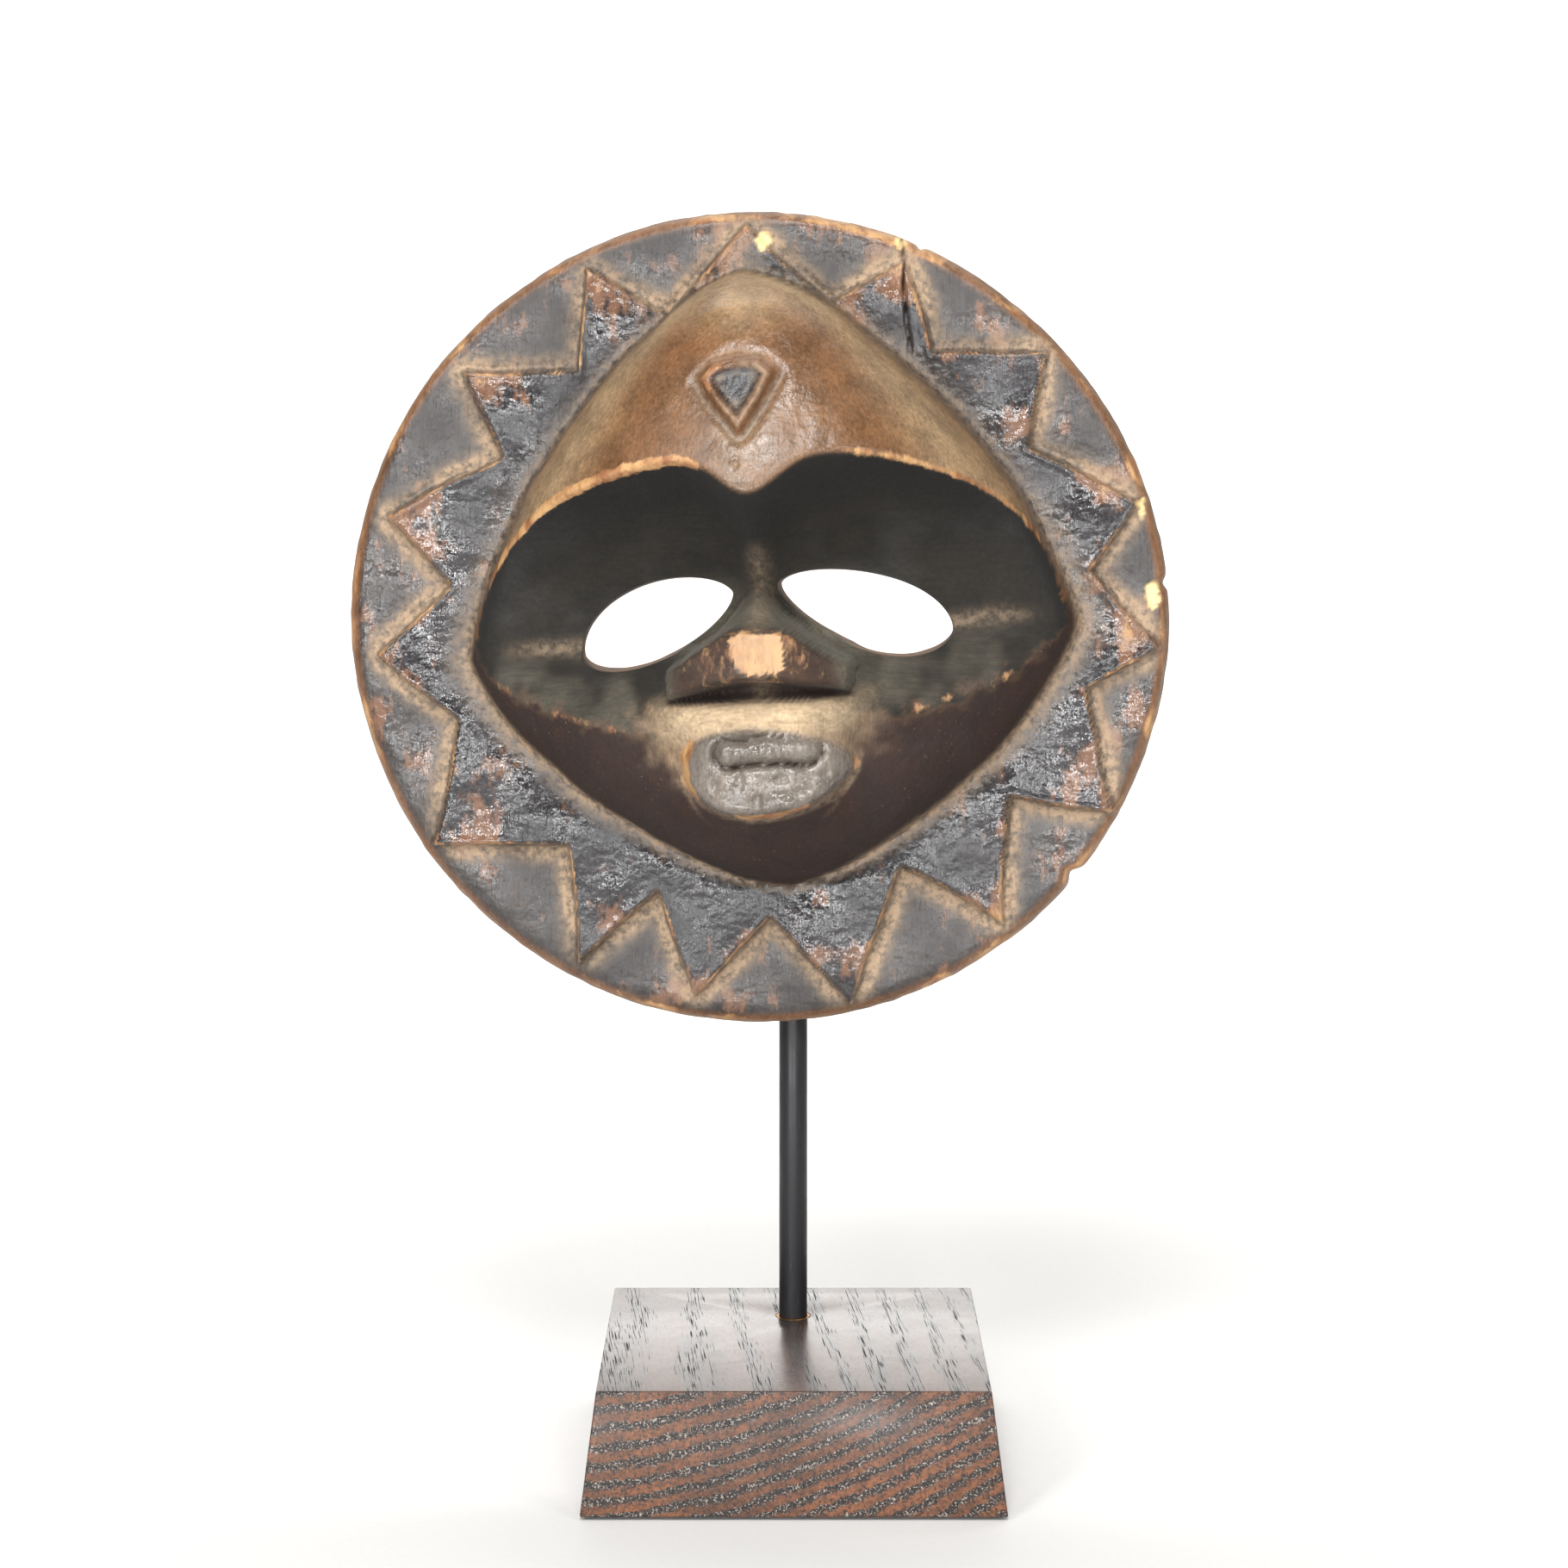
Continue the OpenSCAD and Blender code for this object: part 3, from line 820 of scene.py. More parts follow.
@dataclass
class DiscGrid:
    """Square grid squeezed onto a disc, so that its cells stay about one size."""

    cells: int

    def places(self) -> Array:
        """Return each grid point's place on a disc of radius 1, row by row."""
        line = np.linspace(-1.0, 1.0, self.cells + 1)
        a, b = np.meshgrid(line, line)
        wide = np.abs(a) > np.abs(b)
        safe_a, safe_b = np.where(a == 0.0, 1.0, a), np.where(b == 0.0, 1.0, b)
        radius = np.where(wide, a, b)
        turn = np.where(wide, math.pi / 4.0 * b / safe_a, math.pi / 2.0 - math.pi / 4.0 * a / safe_b)
        turn = np.where((a == 0.0) & (b == 0.0), 0.0, turn)
        return np.stack([radius * np.cos(turn), radius * np.sin(turn)], axis=-1).reshape(-1, 2)

    def faces(self, first: int = 0, flip: bool = False) -> Array:
        """Return the grid's faces, turned over if asked."""
        across = self.cells + 1
        j, i = np.mgrid[0 : self.cells, 0 : self.cells]
        a = first + (j * across + i).reshape(-1)
        quads = np.stack([a, a + 1, a + across + 1, a + across], axis=1)
        return quads[:, ::-1] if flip else quads

    def border(self) -> Array:
        """Return the numbers of the points round the border, anticlockwise."""
        n, across = self.cells, self.cells + 1
        k = np.arange(n)
        return np.concatenate([k, k * across + n, n * across + n - k, (n - k) * across])


@dataclass
class MaskPiece:
    """The wooden mask: its carving as a mesh, pierced, painted and placed on the post."""

    carving: Carving
    post_axis: tuple[float, float]
    middle_z: float = 0.2332
    turn: float = 4.5
    shift_x: float = -8.2
    front_gap: float = 22.17
    cells: int = 252
    coarse: int = 2
    wall_rows: int = 6
    edge_bulge: float = 0.9
    edge_tuck: float = 1.6
    tuck_from: float = 0.72
    back_inset: float = 2.6
    sharp: float = 62.0
    eye_walls: tuple[tuple[float, float], ...] = (
        (-20.0, 1.6), (-1.0, 0.9), (2.5, 0.1), (6.5, 0.0), (9.0, 0.35), (11.0, 0.6), (60.0, 0.6),
    )

    def to_scene(self, p: Array) -> Array:
        """Move points from the disc's own millimetres to their place in the scene."""
        a = math.radians(-self.turn)
        x, y = p[:, 0] + self.shift_x, -self.front_gap - p[:, 2]
        return np.stack([
            (x * math.cos(a) - y * math.sin(a)) * MM + self.post_axis[0],
            (x * math.sin(a) + y * math.cos(a)) * MM + self.post_axis[1],
            p[:, 1] * MM + self.middle_z,
        ], axis=1)

    def shell(self) -> Obj:
        """Return the closed carving without its eye holes, in the disc's own millimetres."""
        c = self.carving
        fine, rough = DiscGrid(self.cells), DiscGrid(self.cells // self.coarse)
        front = self._sheet(fine, c.front)
        back = self._sheet(rough, c.back)
        edge, back_edge = fine.border(), rough.border()
        rim = front[edge]
        turn = np.arctan2(rim[:, 1], rim[:, 0])
        edge_w = back[back_edge, 2]
        low = np.interp(np.arange(len(edge)) / self.coarse, np.arange(len(back_edge) + 1),
                        np.append(edge_w, edge_w[0]))
        rows = []
        for k in range(1, self.wall_rows + 1):
            f = k / (self.wall_rows + 1)
            tuck = max(0.0, f - self.tuck_from) / (1.0 - self.tuck_from)
            bulge = self.edge_bulge * math.sin(math.pi * f) - self.edge_tuck * tuck
            radius = c.rim(turn) + bulge + 0.18 * c.hand.value(turn * 30.0, turn * 0.0 + k * 0.7)
            rows.append(np.stack([radius * np.cos(turn), radius * np.sin(turn),
                                  blend(rim[:, 2], low, f)], axis=1))
        back[back_edge, :2] *= 1.0 - self.back_inset / c.disc_r
        points = np.concatenate([front, *rows, back])
        first_back = len(points) - len(back)
        n = len(edge)
        rings = [edge] + [len(front) + k * n + np.arange(n) for k in range(self.wall_rows)]
        faces = [*fine.faces(), *rough.faces(first_back, flip=True)]
        for upper, lower in zip(rings, rings[1:]):
            faces.extend(np.stack([upper, lower, np.roll(lower, -1), np.roll(upper, -1)], axis=1))
        faces.extend(self._seam(rings[-1], first_back + back_edge))
        return new_object("carved_mask", points, faces)

    def _sheet(self, grid: DiscGrid, height: Callable[[Array, Array], Array]) -> Array:
        """Return a grid's points lifted to a height over the disc."""
        p = grid.places()
        x, y = p[:, 0], p[:, 1]
        radius = self.carving.rim(np.arctan2(y, x))
        x, y = x * radius, y * radius
        return np.stack([x, y, height(x, y)], axis=1)

    def _seam(self, fine: Array, rough: Array) -> list[list[int]]:
        """Join a finely cut edge to a coarsely cut one with triangles."""
        faces = []
        for k, here in enumerate(rough):
            there = rough[(k + 1) % len(rough)]
            run = [fine[(k * self.coarse + j) % len(fine)] for j in range(self.coarse + 1)]
            turn_at = self.coarse // 2
            for j in range(self.coarse):
                faces.append([run[j], here if j < turn_at else there, run[j + 1]])
            faces.append([run[turn_at], here, there])
        return faces

    def eye_cutter(self, eye: EyeHole) -> Obj:
        """Return the solid that an eye hole leaves, its ends slightly flared."""
        rings = []
        for w, grow in self.eye_walls:
            ring = eye.outline(grow)
            x, y = self.carving.from_face(ring[:, 0], ring[:, 1])
            rings.append(np.stack([x, y, np.full(len(x), w)], axis=1))
        n = len(rings[0])
        faces: list[Sequence[int]] = [list(range(n))[::-1], [(len(rings) - 1) * n + k for k in range(n)]]
        for j in range(len(rings) - 1):
            for k in range(n):
                a, b = j * n + k, j * n + (k + 1) % n
                faces.append([a, b, b + n, a + n])
        return new_object("eye_cutter", np.concatenate(rings), faces)

    def build(self) -> Obj:
        """Carve the mask, pierce it, paint it and set it in place."""
        mask = self.shell()
        cutters = [self.eye_cutter(eye) for eye in self.carving.eyes]
        for cutter in cutters:
            cut = mask.modifiers.new("eye", "BOOLEAN")
            cut.operation, cut.solver, cut.object = "DIFFERENCE", "MANIFOLD", cutter
        baked(mask)
        for cutter in cutters:
            bpy.data.meshes.remove(cutter.data)
        self._paint(mask.data)
        points = self.to_scene(read_points(mask.data))
        mask.data.vertices.foreach_set("co", points.reshape(-1))
        mask.data.update()
        mask.data.shade_smooth()
        mask.data.set_sharp_from_angle(angle=math.radians(self.sharp))
        return mask

    def _paint(self, mesh: bpy.types.Mesh) -> None:
        """Store the patina, with its painted light and shade, on the mesh's points."""
        p = read_points(mesh)
        normals = np.empty(len(mesh.vertices) * 3)
        mesh.vertex_normals.foreach_get("vector", normals)
        marks = PatinaAndPaintedLight(self.carving).marks(p[:, 0], p[:, 1], p[:, 2], normals[2::3])
        tone = mesh.color_attributes.new("tone", "FLOAT_COLOR", "POINT")
        tone.data.foreach_set("color", np.column_stack([marks.pop("tone"), np.ones(len(p))]).reshape(-1))
        for name, values in marks.items():
            layer = mesh.attributes.new(name, "FLOAT", "POINT")
            layer.data.foreach_set("value", values.astype(np.float32))


# ----- Node trees -----


@dataclass
class Graph:
    """A node tree, with short calls that add nodes and join them."""

    tree: Tree

    def node(self, kind: str, feeds: dict | None = None, **settings: object) -> Node:
        """Add a node.

        Args:
            kind: Blender's name for the node type.
            feeds: For each input, by name or number, a value or the output that feeds it.
            **settings: Properties of the node itself.

        Returns:
            The new node.
        """
        made = self.tree.nodes.new(kind)
        for key, value in settings.items():
            setattr(made, key, value)
        for key, value in (feeds or {}).items():
            self.feed(made.inputs[key], value)
        return made

    def feed(self, socket: Socket, value: object) -> None:
        """Give an input its value, or join it to an output."""
        if isinstance(value, Socket):
            self.tree.links.new(value, socket)
        elif socket.type == "RGBA" and len(value) == 3:
            socket.default_value = (*value, 1.0)
        else:
            socket.default_value = value

    def math(self, operation: str, a: object, b: object = 0.0, clamp: bool = False) -> Socket:
        """Add a sum, product or other step on one or two numbers."""
        return self.node("ShaderNodeMath", {0: a, 1: b}, operation=operation, use_clamp=clamp).outputs[0]

    def times(self, a: object, b: object) -> Socket:
        """Multiply two numbers."""
        return self.math("MULTIPLY", a, b)

    def plus(self, a: object, b: object) -> Socket:
        """Add two numbers."""
        return self.math("ADD", a, b)

    def minus(self, a: object, b: object) -> Socket:
        """Take one number from another."""
        return self.math("SUBTRACT", a, b)

    def over(self, a: object, b: object) -> Socket:
        """Divide one number by another."""
        return self.math("DIVIDE", a, b)

    def remap(self, x: object, low: object, high: object, to_low: object = 0.0, to_high: object = 1.0,
              smooth: bool = True) -> Socket:
        """Turn a range of numbers into another, held level past its ends."""
        kind = "SMOOTHSTEP" if smooth else "LINEAR"
        feeds = {"Value": x, "From Min": low, "From Max": high, "To Min": to_low, "To Max": to_high}
        return self.node("ShaderNodeMapRange", feeds, interpolation_type=kind).outputs[0]

    def mix(self, factor: object, a: object, b: object) -> Socket:
        """Mix two colours."""
        return self.node("ShaderNodeMix", {0: factor, 6: a, 7: b}, data_type="RGBA").outputs[2]

    def between(self, factor: object, a: object, b: object) -> Socket:
        """Return a number between two others."""
        return self.node("ShaderNodeMix", {0: factor, 2: a, 3: b}, data_type="FLOAT").outputs[0]

    def noise(self, vector: object, scale: object, detail: float = 3.0, rough: float = 0.5,
              bend: float = 0.0) -> Socket:
        """Add soft noise of about 0 to 1."""
        feeds = {"Vector": vector, "Scale": scale, "Detail": detail, "Roughness": rough,
                 "Distortion": bend}
        return self.node("ShaderNodeTexNoise", feeds).outputs[0]

    def emboss(self, shader: Node, height: Socket, strength: float, distance: float) -> None:
        """Give a finish its fine relief.

        Args:
            shader: The finish's Principled BSDF.
            height: Pattern of the relief.
            strength: How strongly it shades, 0 to 1.
            distance: How deep it is, in metres.
        """
        made = self.node("ShaderNodeBump", {"Height": height, "Strength": strength, "Distance": distance})
        self.feed(shader.inputs["Normal"], made.outputs[0])

    def place(self, vector: object, scale: tuple[float, float, float] = (1.0, 1.0, 1.0),
              turn: tuple[float, float, float] = (0.0, 0.0, 0.0),
              shift: tuple[float, float, float] = (0.0, 0.0, 0.0)) -> Socket:
        """Stretch, turn and shift a pattern's coordinates; turns are in degrees."""
        feeds = {"Vector": vector, "Scale": scale, "Location": shift,
                 "Rotation": tuple(math.radians(a) for a in turn)}
        return self.node("ShaderNodeMapping", feeds).outputs[0]

    def stored(self, name: str, colour: bool = False) -> Socket:
        """Read what is stored on the mesh under a name."""
        made = self.node("ShaderNodeAttribute", attribute_type="GEOMETRY", attribute_name=name)
        return made.outputs["Color" if colour else "Fac"]

    def in_mm(self) -> Socket:
        """Return the place on the piece in millimetres."""
        return self.place(self.node("ShaderNodeTexCoord").outputs["Object"], scale=(1000.0,) * 3)

    def group(self, tree: Tree, **feeds: object) -> Node:
        """Place a node group; an input's spaces are written as underscores."""
        made = self.node("ShaderNodeGroup", node_tree=tree)
        for key, value in feeds.items():
            self.feed(made.inputs[key.replace("_", " ")], value)
        return made


def new_tree(name: str, kind: str, takes: Sequence[tuple[str, str, object]],
             gives: Sequence[tuple[str, str]],
             ) -> tuple[Graph, bpy.types.NodeOutputs, bpy.types.NodeInputs]:
    """Start a node group with named inputs and outputs.

    Args:
        name: The group's name.
        kind: Shader or geometry tree type.
        takes: Name, socket type and starting value of each input.
        gives: Name and socket type of each output.

    Returns:
        The tree, what it takes in and what it gives out, both by name.
    """
    tree = bpy.data.node_groups.new(name, kind)
    for label, socket, value in takes:
        made = tree.interface.new_socket(name=label, in_out="INPUT", socket_type=f"NodeSocket{socket}")
        if value is not None:
            made.default_value = value
    for label, socket in gives:
        tree.interface.new_socket(name=label, in_out="OUTPUT", socket_type=f"NodeSocket{socket}")
    graph = Graph(tree)
    return graph, graph.node("NodeGroupInput").outputs, graph.node("NodeGroupOutput").inputs


class Effects:
    """The effects that several finishes share, each a node group made once."""

    def __init__(self) -> None:
        """Build the groups."""
        self.fibres = self._fibres()
        self.flecks = self._flecks()
        self.handling = self._handling()

    def _fibres(self) -> Tree:
        """Fine wood fibres and open pores that run along Z."""
        g, takes, gives = new_tree("wood_fibres", "ShaderNodeTree", (
            ("Vector", "Vector", None), ("Width", "Float", 0.6), ("Length", "Float", 12.0),
            ("Pores", "Float", 0.3)), (("Streak", "Float"), ("Pore", "Float")))
        across = g.over(1.0, takes["Width"])
        along = g.over(1.0, takes["Length"])
        by = g.node("ShaderNodeCombineXYZ", {0: across, 1: across, 2: along}).outputs[0]
        at = g.node("ShaderNodeVectorMath", {0: takes["Vector"], 1: by},
                    operation="MULTIPLY").outputs[0]
        streak = g.noise(at, 0.8, detail=4.0, rough=0.62, bend=0.25)
        g.feed(gives["Streak"], g.remap(streak, 0.28, 0.72, smooth=False))
        hole = g.noise(at, 1.7, detail=1.0, rough=0.4)
        edge = g.remap(takes["Pores"], 0.0, 1.0, 0.78, 0.42, smooth=False)
        g.feed(gives["Pore"], g.remap(hole, edge, g.plus(edge, 0.07)))
        return g.tree

    def _flecks(self) -> Tree:
        """Ragged patches that close up as their cover rises from 0 to 1."""
        g, takes, gives = new_tree("ragged_flecks", "ShaderNodeTree", (
            ("Vector", "Vector", None), ("Size", "Float", 2.0), ("Cover", "Float", 0.5),
            ("Softness", "Float", 0.15)), (("Mask", "Float"),))
        scale = g.over(1.0, takes["Size"])
        grain = g.noise(takes["Vector"], scale, detail=6.0, rough=0.68)
        n = g.remap(grain, 0.27, 0.73, smooth=False)
        reach = g.times(takes["Cover"], g.plus(1.0, takes["Softness"]))
        over = g.minus(g.plus(reach, n), 1.0)
        g.feed(gives["Mask"], g.remap(over, 0.0, takes["Softness"]))
        return g.tree

    def _handling(self) -> Tree:
        """Roughness that varies where hands and cloths have been, with fine scratches."""
        g, takes, gives = new_tree("handling_marks", "ShaderNodeTree", (
            ("Vector", "Vector", None), ("Low", "Float", 0.3), ("High", "Float", 0.5),
            ("Size", "Float", 9.0)), (("Roughness", "Float"), ("Scratch", "Float")))
        scale = g.over(1.0, takes["Size"])
        cloudy = g.noise(takes["Vector"], scale, detail=4.0, rough=0.6, bend=0.6)
        even = g.remap(cloudy, 0.3, 0.7, takes["Low"], takes["High"])
        combed = g.place(takes["Vector"], (0.25, 7.0, 0.4), (12, 25, 31))
        lines = g.noise(combed, 1.0, detail=2.0)
        scratch = g.remap(lines, 0.66, 0.74)
        g.feed(gives["Roughness"], g.plus(even, g.times(scratch, 0.08)))
        g.feed(gives["Scratch"], scratch)
        return g.tree


def start_material(name: str) -> tuple[Material, Graph, Node]:
    """Make a material and return it with its tree and its Principled BSDF."""
    made = bpy.data.materials.new(name)
    made.use_nodes = True
    made.node_tree.nodes.clear()
    g = Graph(made.node_tree)
    shader = g.node("ShaderNodeBsdfPrincipled")
    g.node("ShaderNodeOutputMaterial", {"Surface": shader.outputs[0]})
    return made, g, shader


# ----- Finishes -----


@dataclass(frozen=True)
class MaskWood:
    """Old carved wood under a dark waxed stain: rubbed on its edges, dusty in its corners."""

    worn_deep: Colour = tint(128, 82, 50)
    worn_light: Colour = tint(178, 138, 92)
    scuffed: Colour = tint(112, 80, 60)
    # pale dust, also laid as a painted highlight on the hollow's crease and the kite's rim
    dust_and_highlight: Colour = tint(152, 130, 106)
    bare: Colour = tint(226, 196, 138)
    speck: Colour = tint(186, 166, 136)
    hole: Colour = (0.012, 0.008, 0.006)

    def material(self, effects: Effects) -> Material:
        """Return the finish; it reads the patina, with its painted light and shade, stored on the mask.
        """
        made, g, shader = start_material("waxed_mask_wood")
        mm = g.in_mm()
        level = g.stored("level")
        upright = g.group(effects.fibres, Vector=mm, Width=0.55, Length=9.0, Pores=0.25)
        sideways = g.group(effects.fibres, Vector=g.place(mm, turn=(0, 90, 4)), Width=0.7, Length=11.0,
                           Pores=0.2)
        streak = g.between(level, upright.outputs["Streak"], sideways.outputs["Streak"])
        grit = g.noise(mm, 0.85, detail=4.0, rough=0.6)
        cloudy = g.noise(mm, 0.11, detail=4.0, rough=0.6)
        light = g.times(g.remap(cloudy, 0.3, 0.7, 0.78, 1.26), g.remap(streak, 0.0, 1.0, 0.8, 1.2))
        light = g.times(light, g.remap(grit, 0.3, 0.7, 0.86, 1.14))
        colour = g.node("ShaderNodeHueSaturation",
                        {"Value": light, "Color": g.stored("tone", colour=True)}).outputs[0]

        stretched = g.place(mm, scale=(1.0, 1.0, 0.45))
        scuffs = g.group(effects.flecks, Vector=stretched, Size=5.0, Cover=g.stored("scuff"),
                         Softness=0.3)
        colour = g.mix(g.times(scuffs.outputs[0], 0.85), colour, self.scuffed)
        specks = g.group(effects.flecks, Vector=mm, Size=0.8, Cover=g.times(g.stored("speck"), 0.3),
                         Softness=0.12)
        colour = g.mix(g.times(specks.outputs[0], 0.6), colour, self.speck)
        worn = g.group(effects.flecks, Vector=stretched, Size=4.8, Cover=g.stored("wear"), Softness=0.55)
        rubbed = g.remap(g.noise(stretched, 0.2, detail=6.0, rough=0.6), 0.36, 0.62)
        rubbed = g.mix(rubbed, self.worn_deep, self.worn_light)
        colour = g.mix(worn.outputs[0], colour, rubbed)
        drift = g.remap(g.noise(mm, 0.5, detail=5.0, rough=0.65), 0.32, 0.66, 0.25, 1.15)
        # dust, with the painted highlight on the crease and the kite's rim
        dust_and_highlight_cover = g.math("MULTIPLY", g.stored("dust_and_highlight"), drift, clamp=True)
        colour = g.mix(dust_and_highlight_cover, colour, self.dust_and_highlight)
        chipped = g.stored("bare")
        colour = g.mix(chipped, colour, self.bare)
        colour = g.mix(g.times(upright.outputs["Pore"], 0.35), colour, self.hole)
        colour = g.mix(g.times(g.stored("crack"), 0.85), colour, self.hole)
        g.feed(shader.inputs["Base Color"], colour)

        rough = g.remap(g.stored("gloss"), 0.0, 1.0, 0.9, 0.12, smooth=False)
        rough = g.plus(rough, g.remap(grit, 0.3, 0.7, -0.03, 0.08))
        rough = g.between(worn.outputs[0], rough, 0.5)
        rough = g.between(g.math("MAXIMUM", dust_and_highlight_cover, chipped), rough, 0.82)
        g.feed(shader.inputs["Roughness"], rough)

        height = g.times(streak, 0.05)
        for part, share in ((g.noise(mm, 0.42, detail=2.0, rough=0.45), 0.38), (grit, 0.07),
                            (upright.outputs["Pore"], -0.06), (worn.outputs[0], -0.12),
                            (g.stored("crack"), -0.5)):
            height = g.plus(height, g.times(part, share))
        g.emboss(shader, height, 0.9, 0.001)
        shader.inputs["Specular IOR Level"].default_value = 0.5
        return made


@dataclass(frozen=True)
class BaseWood:
    """Open-pored hardwood, stained dark and waxed; its rings show as arcs on the end grain."""

    pith: tuple[float, float] = (-82.0, 230.0)
    ring: float = 4.4
    slant: float = -5.0
    late: Colour = tint(92, 54, 30)
    early: Colour = tint(48, 34, 28)
    pore: Colour = tint(14, 11, 10)
    lime: Colour = tint(168, 158, 148)
    top: Colour = tint(44, 38, 36)

    def material(self, effects: Effects) -> Material:
        """Return the finish; the log runs front to back, a few degrees aslant."""
        made, g, shader = start_material("stained_block_wood")
        mm = g.in_mm()
        log = g.place(mm, turn=(0, 0, self.slant))
        centred = g.place(log, shift=(-self.pith[0], 0.0, -self.pith[1]))
        parts = g.node("ShaderNodeSeparateXYZ", {0: centred})
        square = g.plus(g.times(parts.outputs[0], parts.outputs[0]),
                        g.times(parts.outputs[2], parts.outputs[2]))
        radius = g.math("SQRT", square)
        wobble = g.noise(g.place(log, scale=(0.03, 0.006, 0.03)), 1.0, detail=3.0)
        radius = g.plus(radius, g.remap(wobble, 0.3, 0.7, -1.6, 1.6, smooth=False))
        frizz = g.noise(g.place(log, scale=(0.5, 0.02, 0.5)), 1.0, detail=4.0, rough=0.65)
        radius = g.plus(radius, g.remap(frizz, 0.3, 0.7, -0.7, 0.7, smooth=False))
        phase = g.math("FRACT", g.over(radius, self.ring))
        early = g.times(g.remap(phase, 0.0, 0.16), g.remap(phase, 0.74, 0.32))
        along = g.place(log, turn=(90, 0, 0))
        coarse = g.group(effects.fibres, Vector=along, Width=0.5, Length=20.0,
                         Pores=g.remap(early, 0.0, 1.0, 0.08, 0.62, smooth=False))
        fine = g.group(effects.fibres, Vector=g.place(along, shift=(31, 17, 5)), Width=0.28, Length=9.0,
                       Pores=0.3)
        body = g.mix(g.remap(early, 0.0, 1.0, 0.0, 0.8), self.late, self.early)
        cloudy = g.noise(g.place(log, scale=(0.05, 0.012, 0.05)), 1.0, detail=4.0)
        mottle = g.noise(mm, 0.7, detail=4.0, rough=0.6)
        light = g.times(g.remap(cloudy, 0.3, 0.7, 0.65, 1.35), g.remap(mottle, 0.32, 0.68, 0.6, 1.4))
        light = g.times(light, g.remap(fine.outputs["Streak"], 0.0, 1.0, 0.75, 1.25))
        body = g.node("ShaderNodeHueSaturation", {"Value": light, "Color": body}).outputs[0]
        hole = g.math("MAXIMUM", coarse.outputs["Pore"], g.times(fine.outputs["Pore"], 0.5))
        body = g.mix(hole, body, self.pore)
        limed = g.group(effects.flecks, Vector=mm, Size=0.55, Cover=0.36, Softness=0.1)
        normal = g.node("ShaderNodeSeparateXYZ", {0: g.node("ShaderNodeNewGeometry").outputs["Normal"]})
        end_grain = g.remap(g.math("ABSOLUTE", normal.outputs[1]), 0.5, 0.8)
        cut_pores = g.group(effects.flecks, Vector=mm, Size=0.8, Softness=0.16,
                            Cover=g.remap(early, 0.0, 1.0, 0.38, 0.66, smooth=False))
        body = g.mix(g.times(g.times(cut_pores.outputs[0], end_grain), 0.85), body, self.pore)
        lime = g.times(limed.outputs[0], g.times(early, end_grain))
        body = g.mix(g.times(lime, 0.8), body, self.lime)
        face_up = g.remap(normal.outputs[2], 0.6, 0.9)
        body = g.mix(g.times(face_up, 0.45), body, self.top)
        g.feed(shader.inputs["Base Color"], body)
        marks = g.group(effects.handling, Vector=mm, Low=0.26, High=0.36, Size=16.0)
        rough = g.plus(marks.outputs[0], g.remap(end_grain, 0.0, 1.0, 0.0, 0.2, smooth=False))
        rough = g.between(hole, rough, 0.75)
        g.feed(shader.inputs["Roughness"], rough)
        height = g.minus(g.times(fine.outputs["Streak"], 0.15), hole)
        g.emboss(shader, height, 0.6, 0.00025)
        g.feed(shader.inputs["Coat Weight"],
               g.times(g.minus(1.0, hole), g.remap(face_up, 0.0, 1.0, 0.1, 1.0)))
        shader.inputs["Coat Roughness"].default_value = 0.22
        return made


@dataclass(frozen=True)
class BlackSteel:
    """Mild steel, blackened and oiled to a satin."""

    colour: Colour = (0.016, 0.016, 0.018)
    rubbed: Colour = (0.05, 0.05, 0.054)

    def material(self, effects: Effects) -> Material:
        """Return the finish, with drawn lines along the bar."""
        made, g, shader = start_material("blackened_steel")
        mm = g.in_mm()
        marks = g.group(effects.handling, Vector=mm, Low=0.36, High=0.5, Size=12.0)
        drawn = g.noise(g.place(mm, scale=(3.0, 3.0, 0.05)), 1.0, detail=3.0)
        flecks = g.group(effects.flecks, Vector=mm, Size=1.6, Cover=0.1, Softness=0.3)
        colour = g.mix(g.times(flecks.outputs[0], 0.4), self.colour, self.rubbed)
        g.feed(shader.inputs["Base Color"], g.mix(g.times(marks.outputs[1], 0.3), colour, self.rubbed))
        g.feed(shader.inputs["Roughness"], marks.outputs[0])
        g.emboss(shader, drawn, 0.25, 0.00006)
        shader.inputs["Metallic"].default_value = 0.35
        return made


@dataclass(frozen=True)
class Brass:
    """Turned brass, gone dull."""

    bright: Colour = tint(196, 150, 84)
    dull: Colour = tint(120, 84, 46)

    def material(self, effects: Effects) -> Material:
        """Return the finish, with turning lines and tarnish."""
        made, g, shader = start_material("dull_brass")
        mm = g.in_mm()
        marks = g.group(effects.handling, Vector=mm, Low=0.22, High=0.42, Size=3.0)
        tarnish = g.group(effects.flecks, Vector=mm, Size=2.0, Cover=0.45, Softness=0.6)
        g.feed(shader.inputs["Base Color"], g.mix(tarnish.outputs[0], self.bright, self.dull))
        g.feed(shader.inputs["Roughness"], marks.outputs[0])
        turned = g.noise(g.place(mm, scale=(0.2, 0.2, 9.0)), 1.0, detail=2.0)
        g.emboss(shader, turned, 0.3, 0.00005)
        shader.inputs["Metallic"].default_value = 1.0
        return made


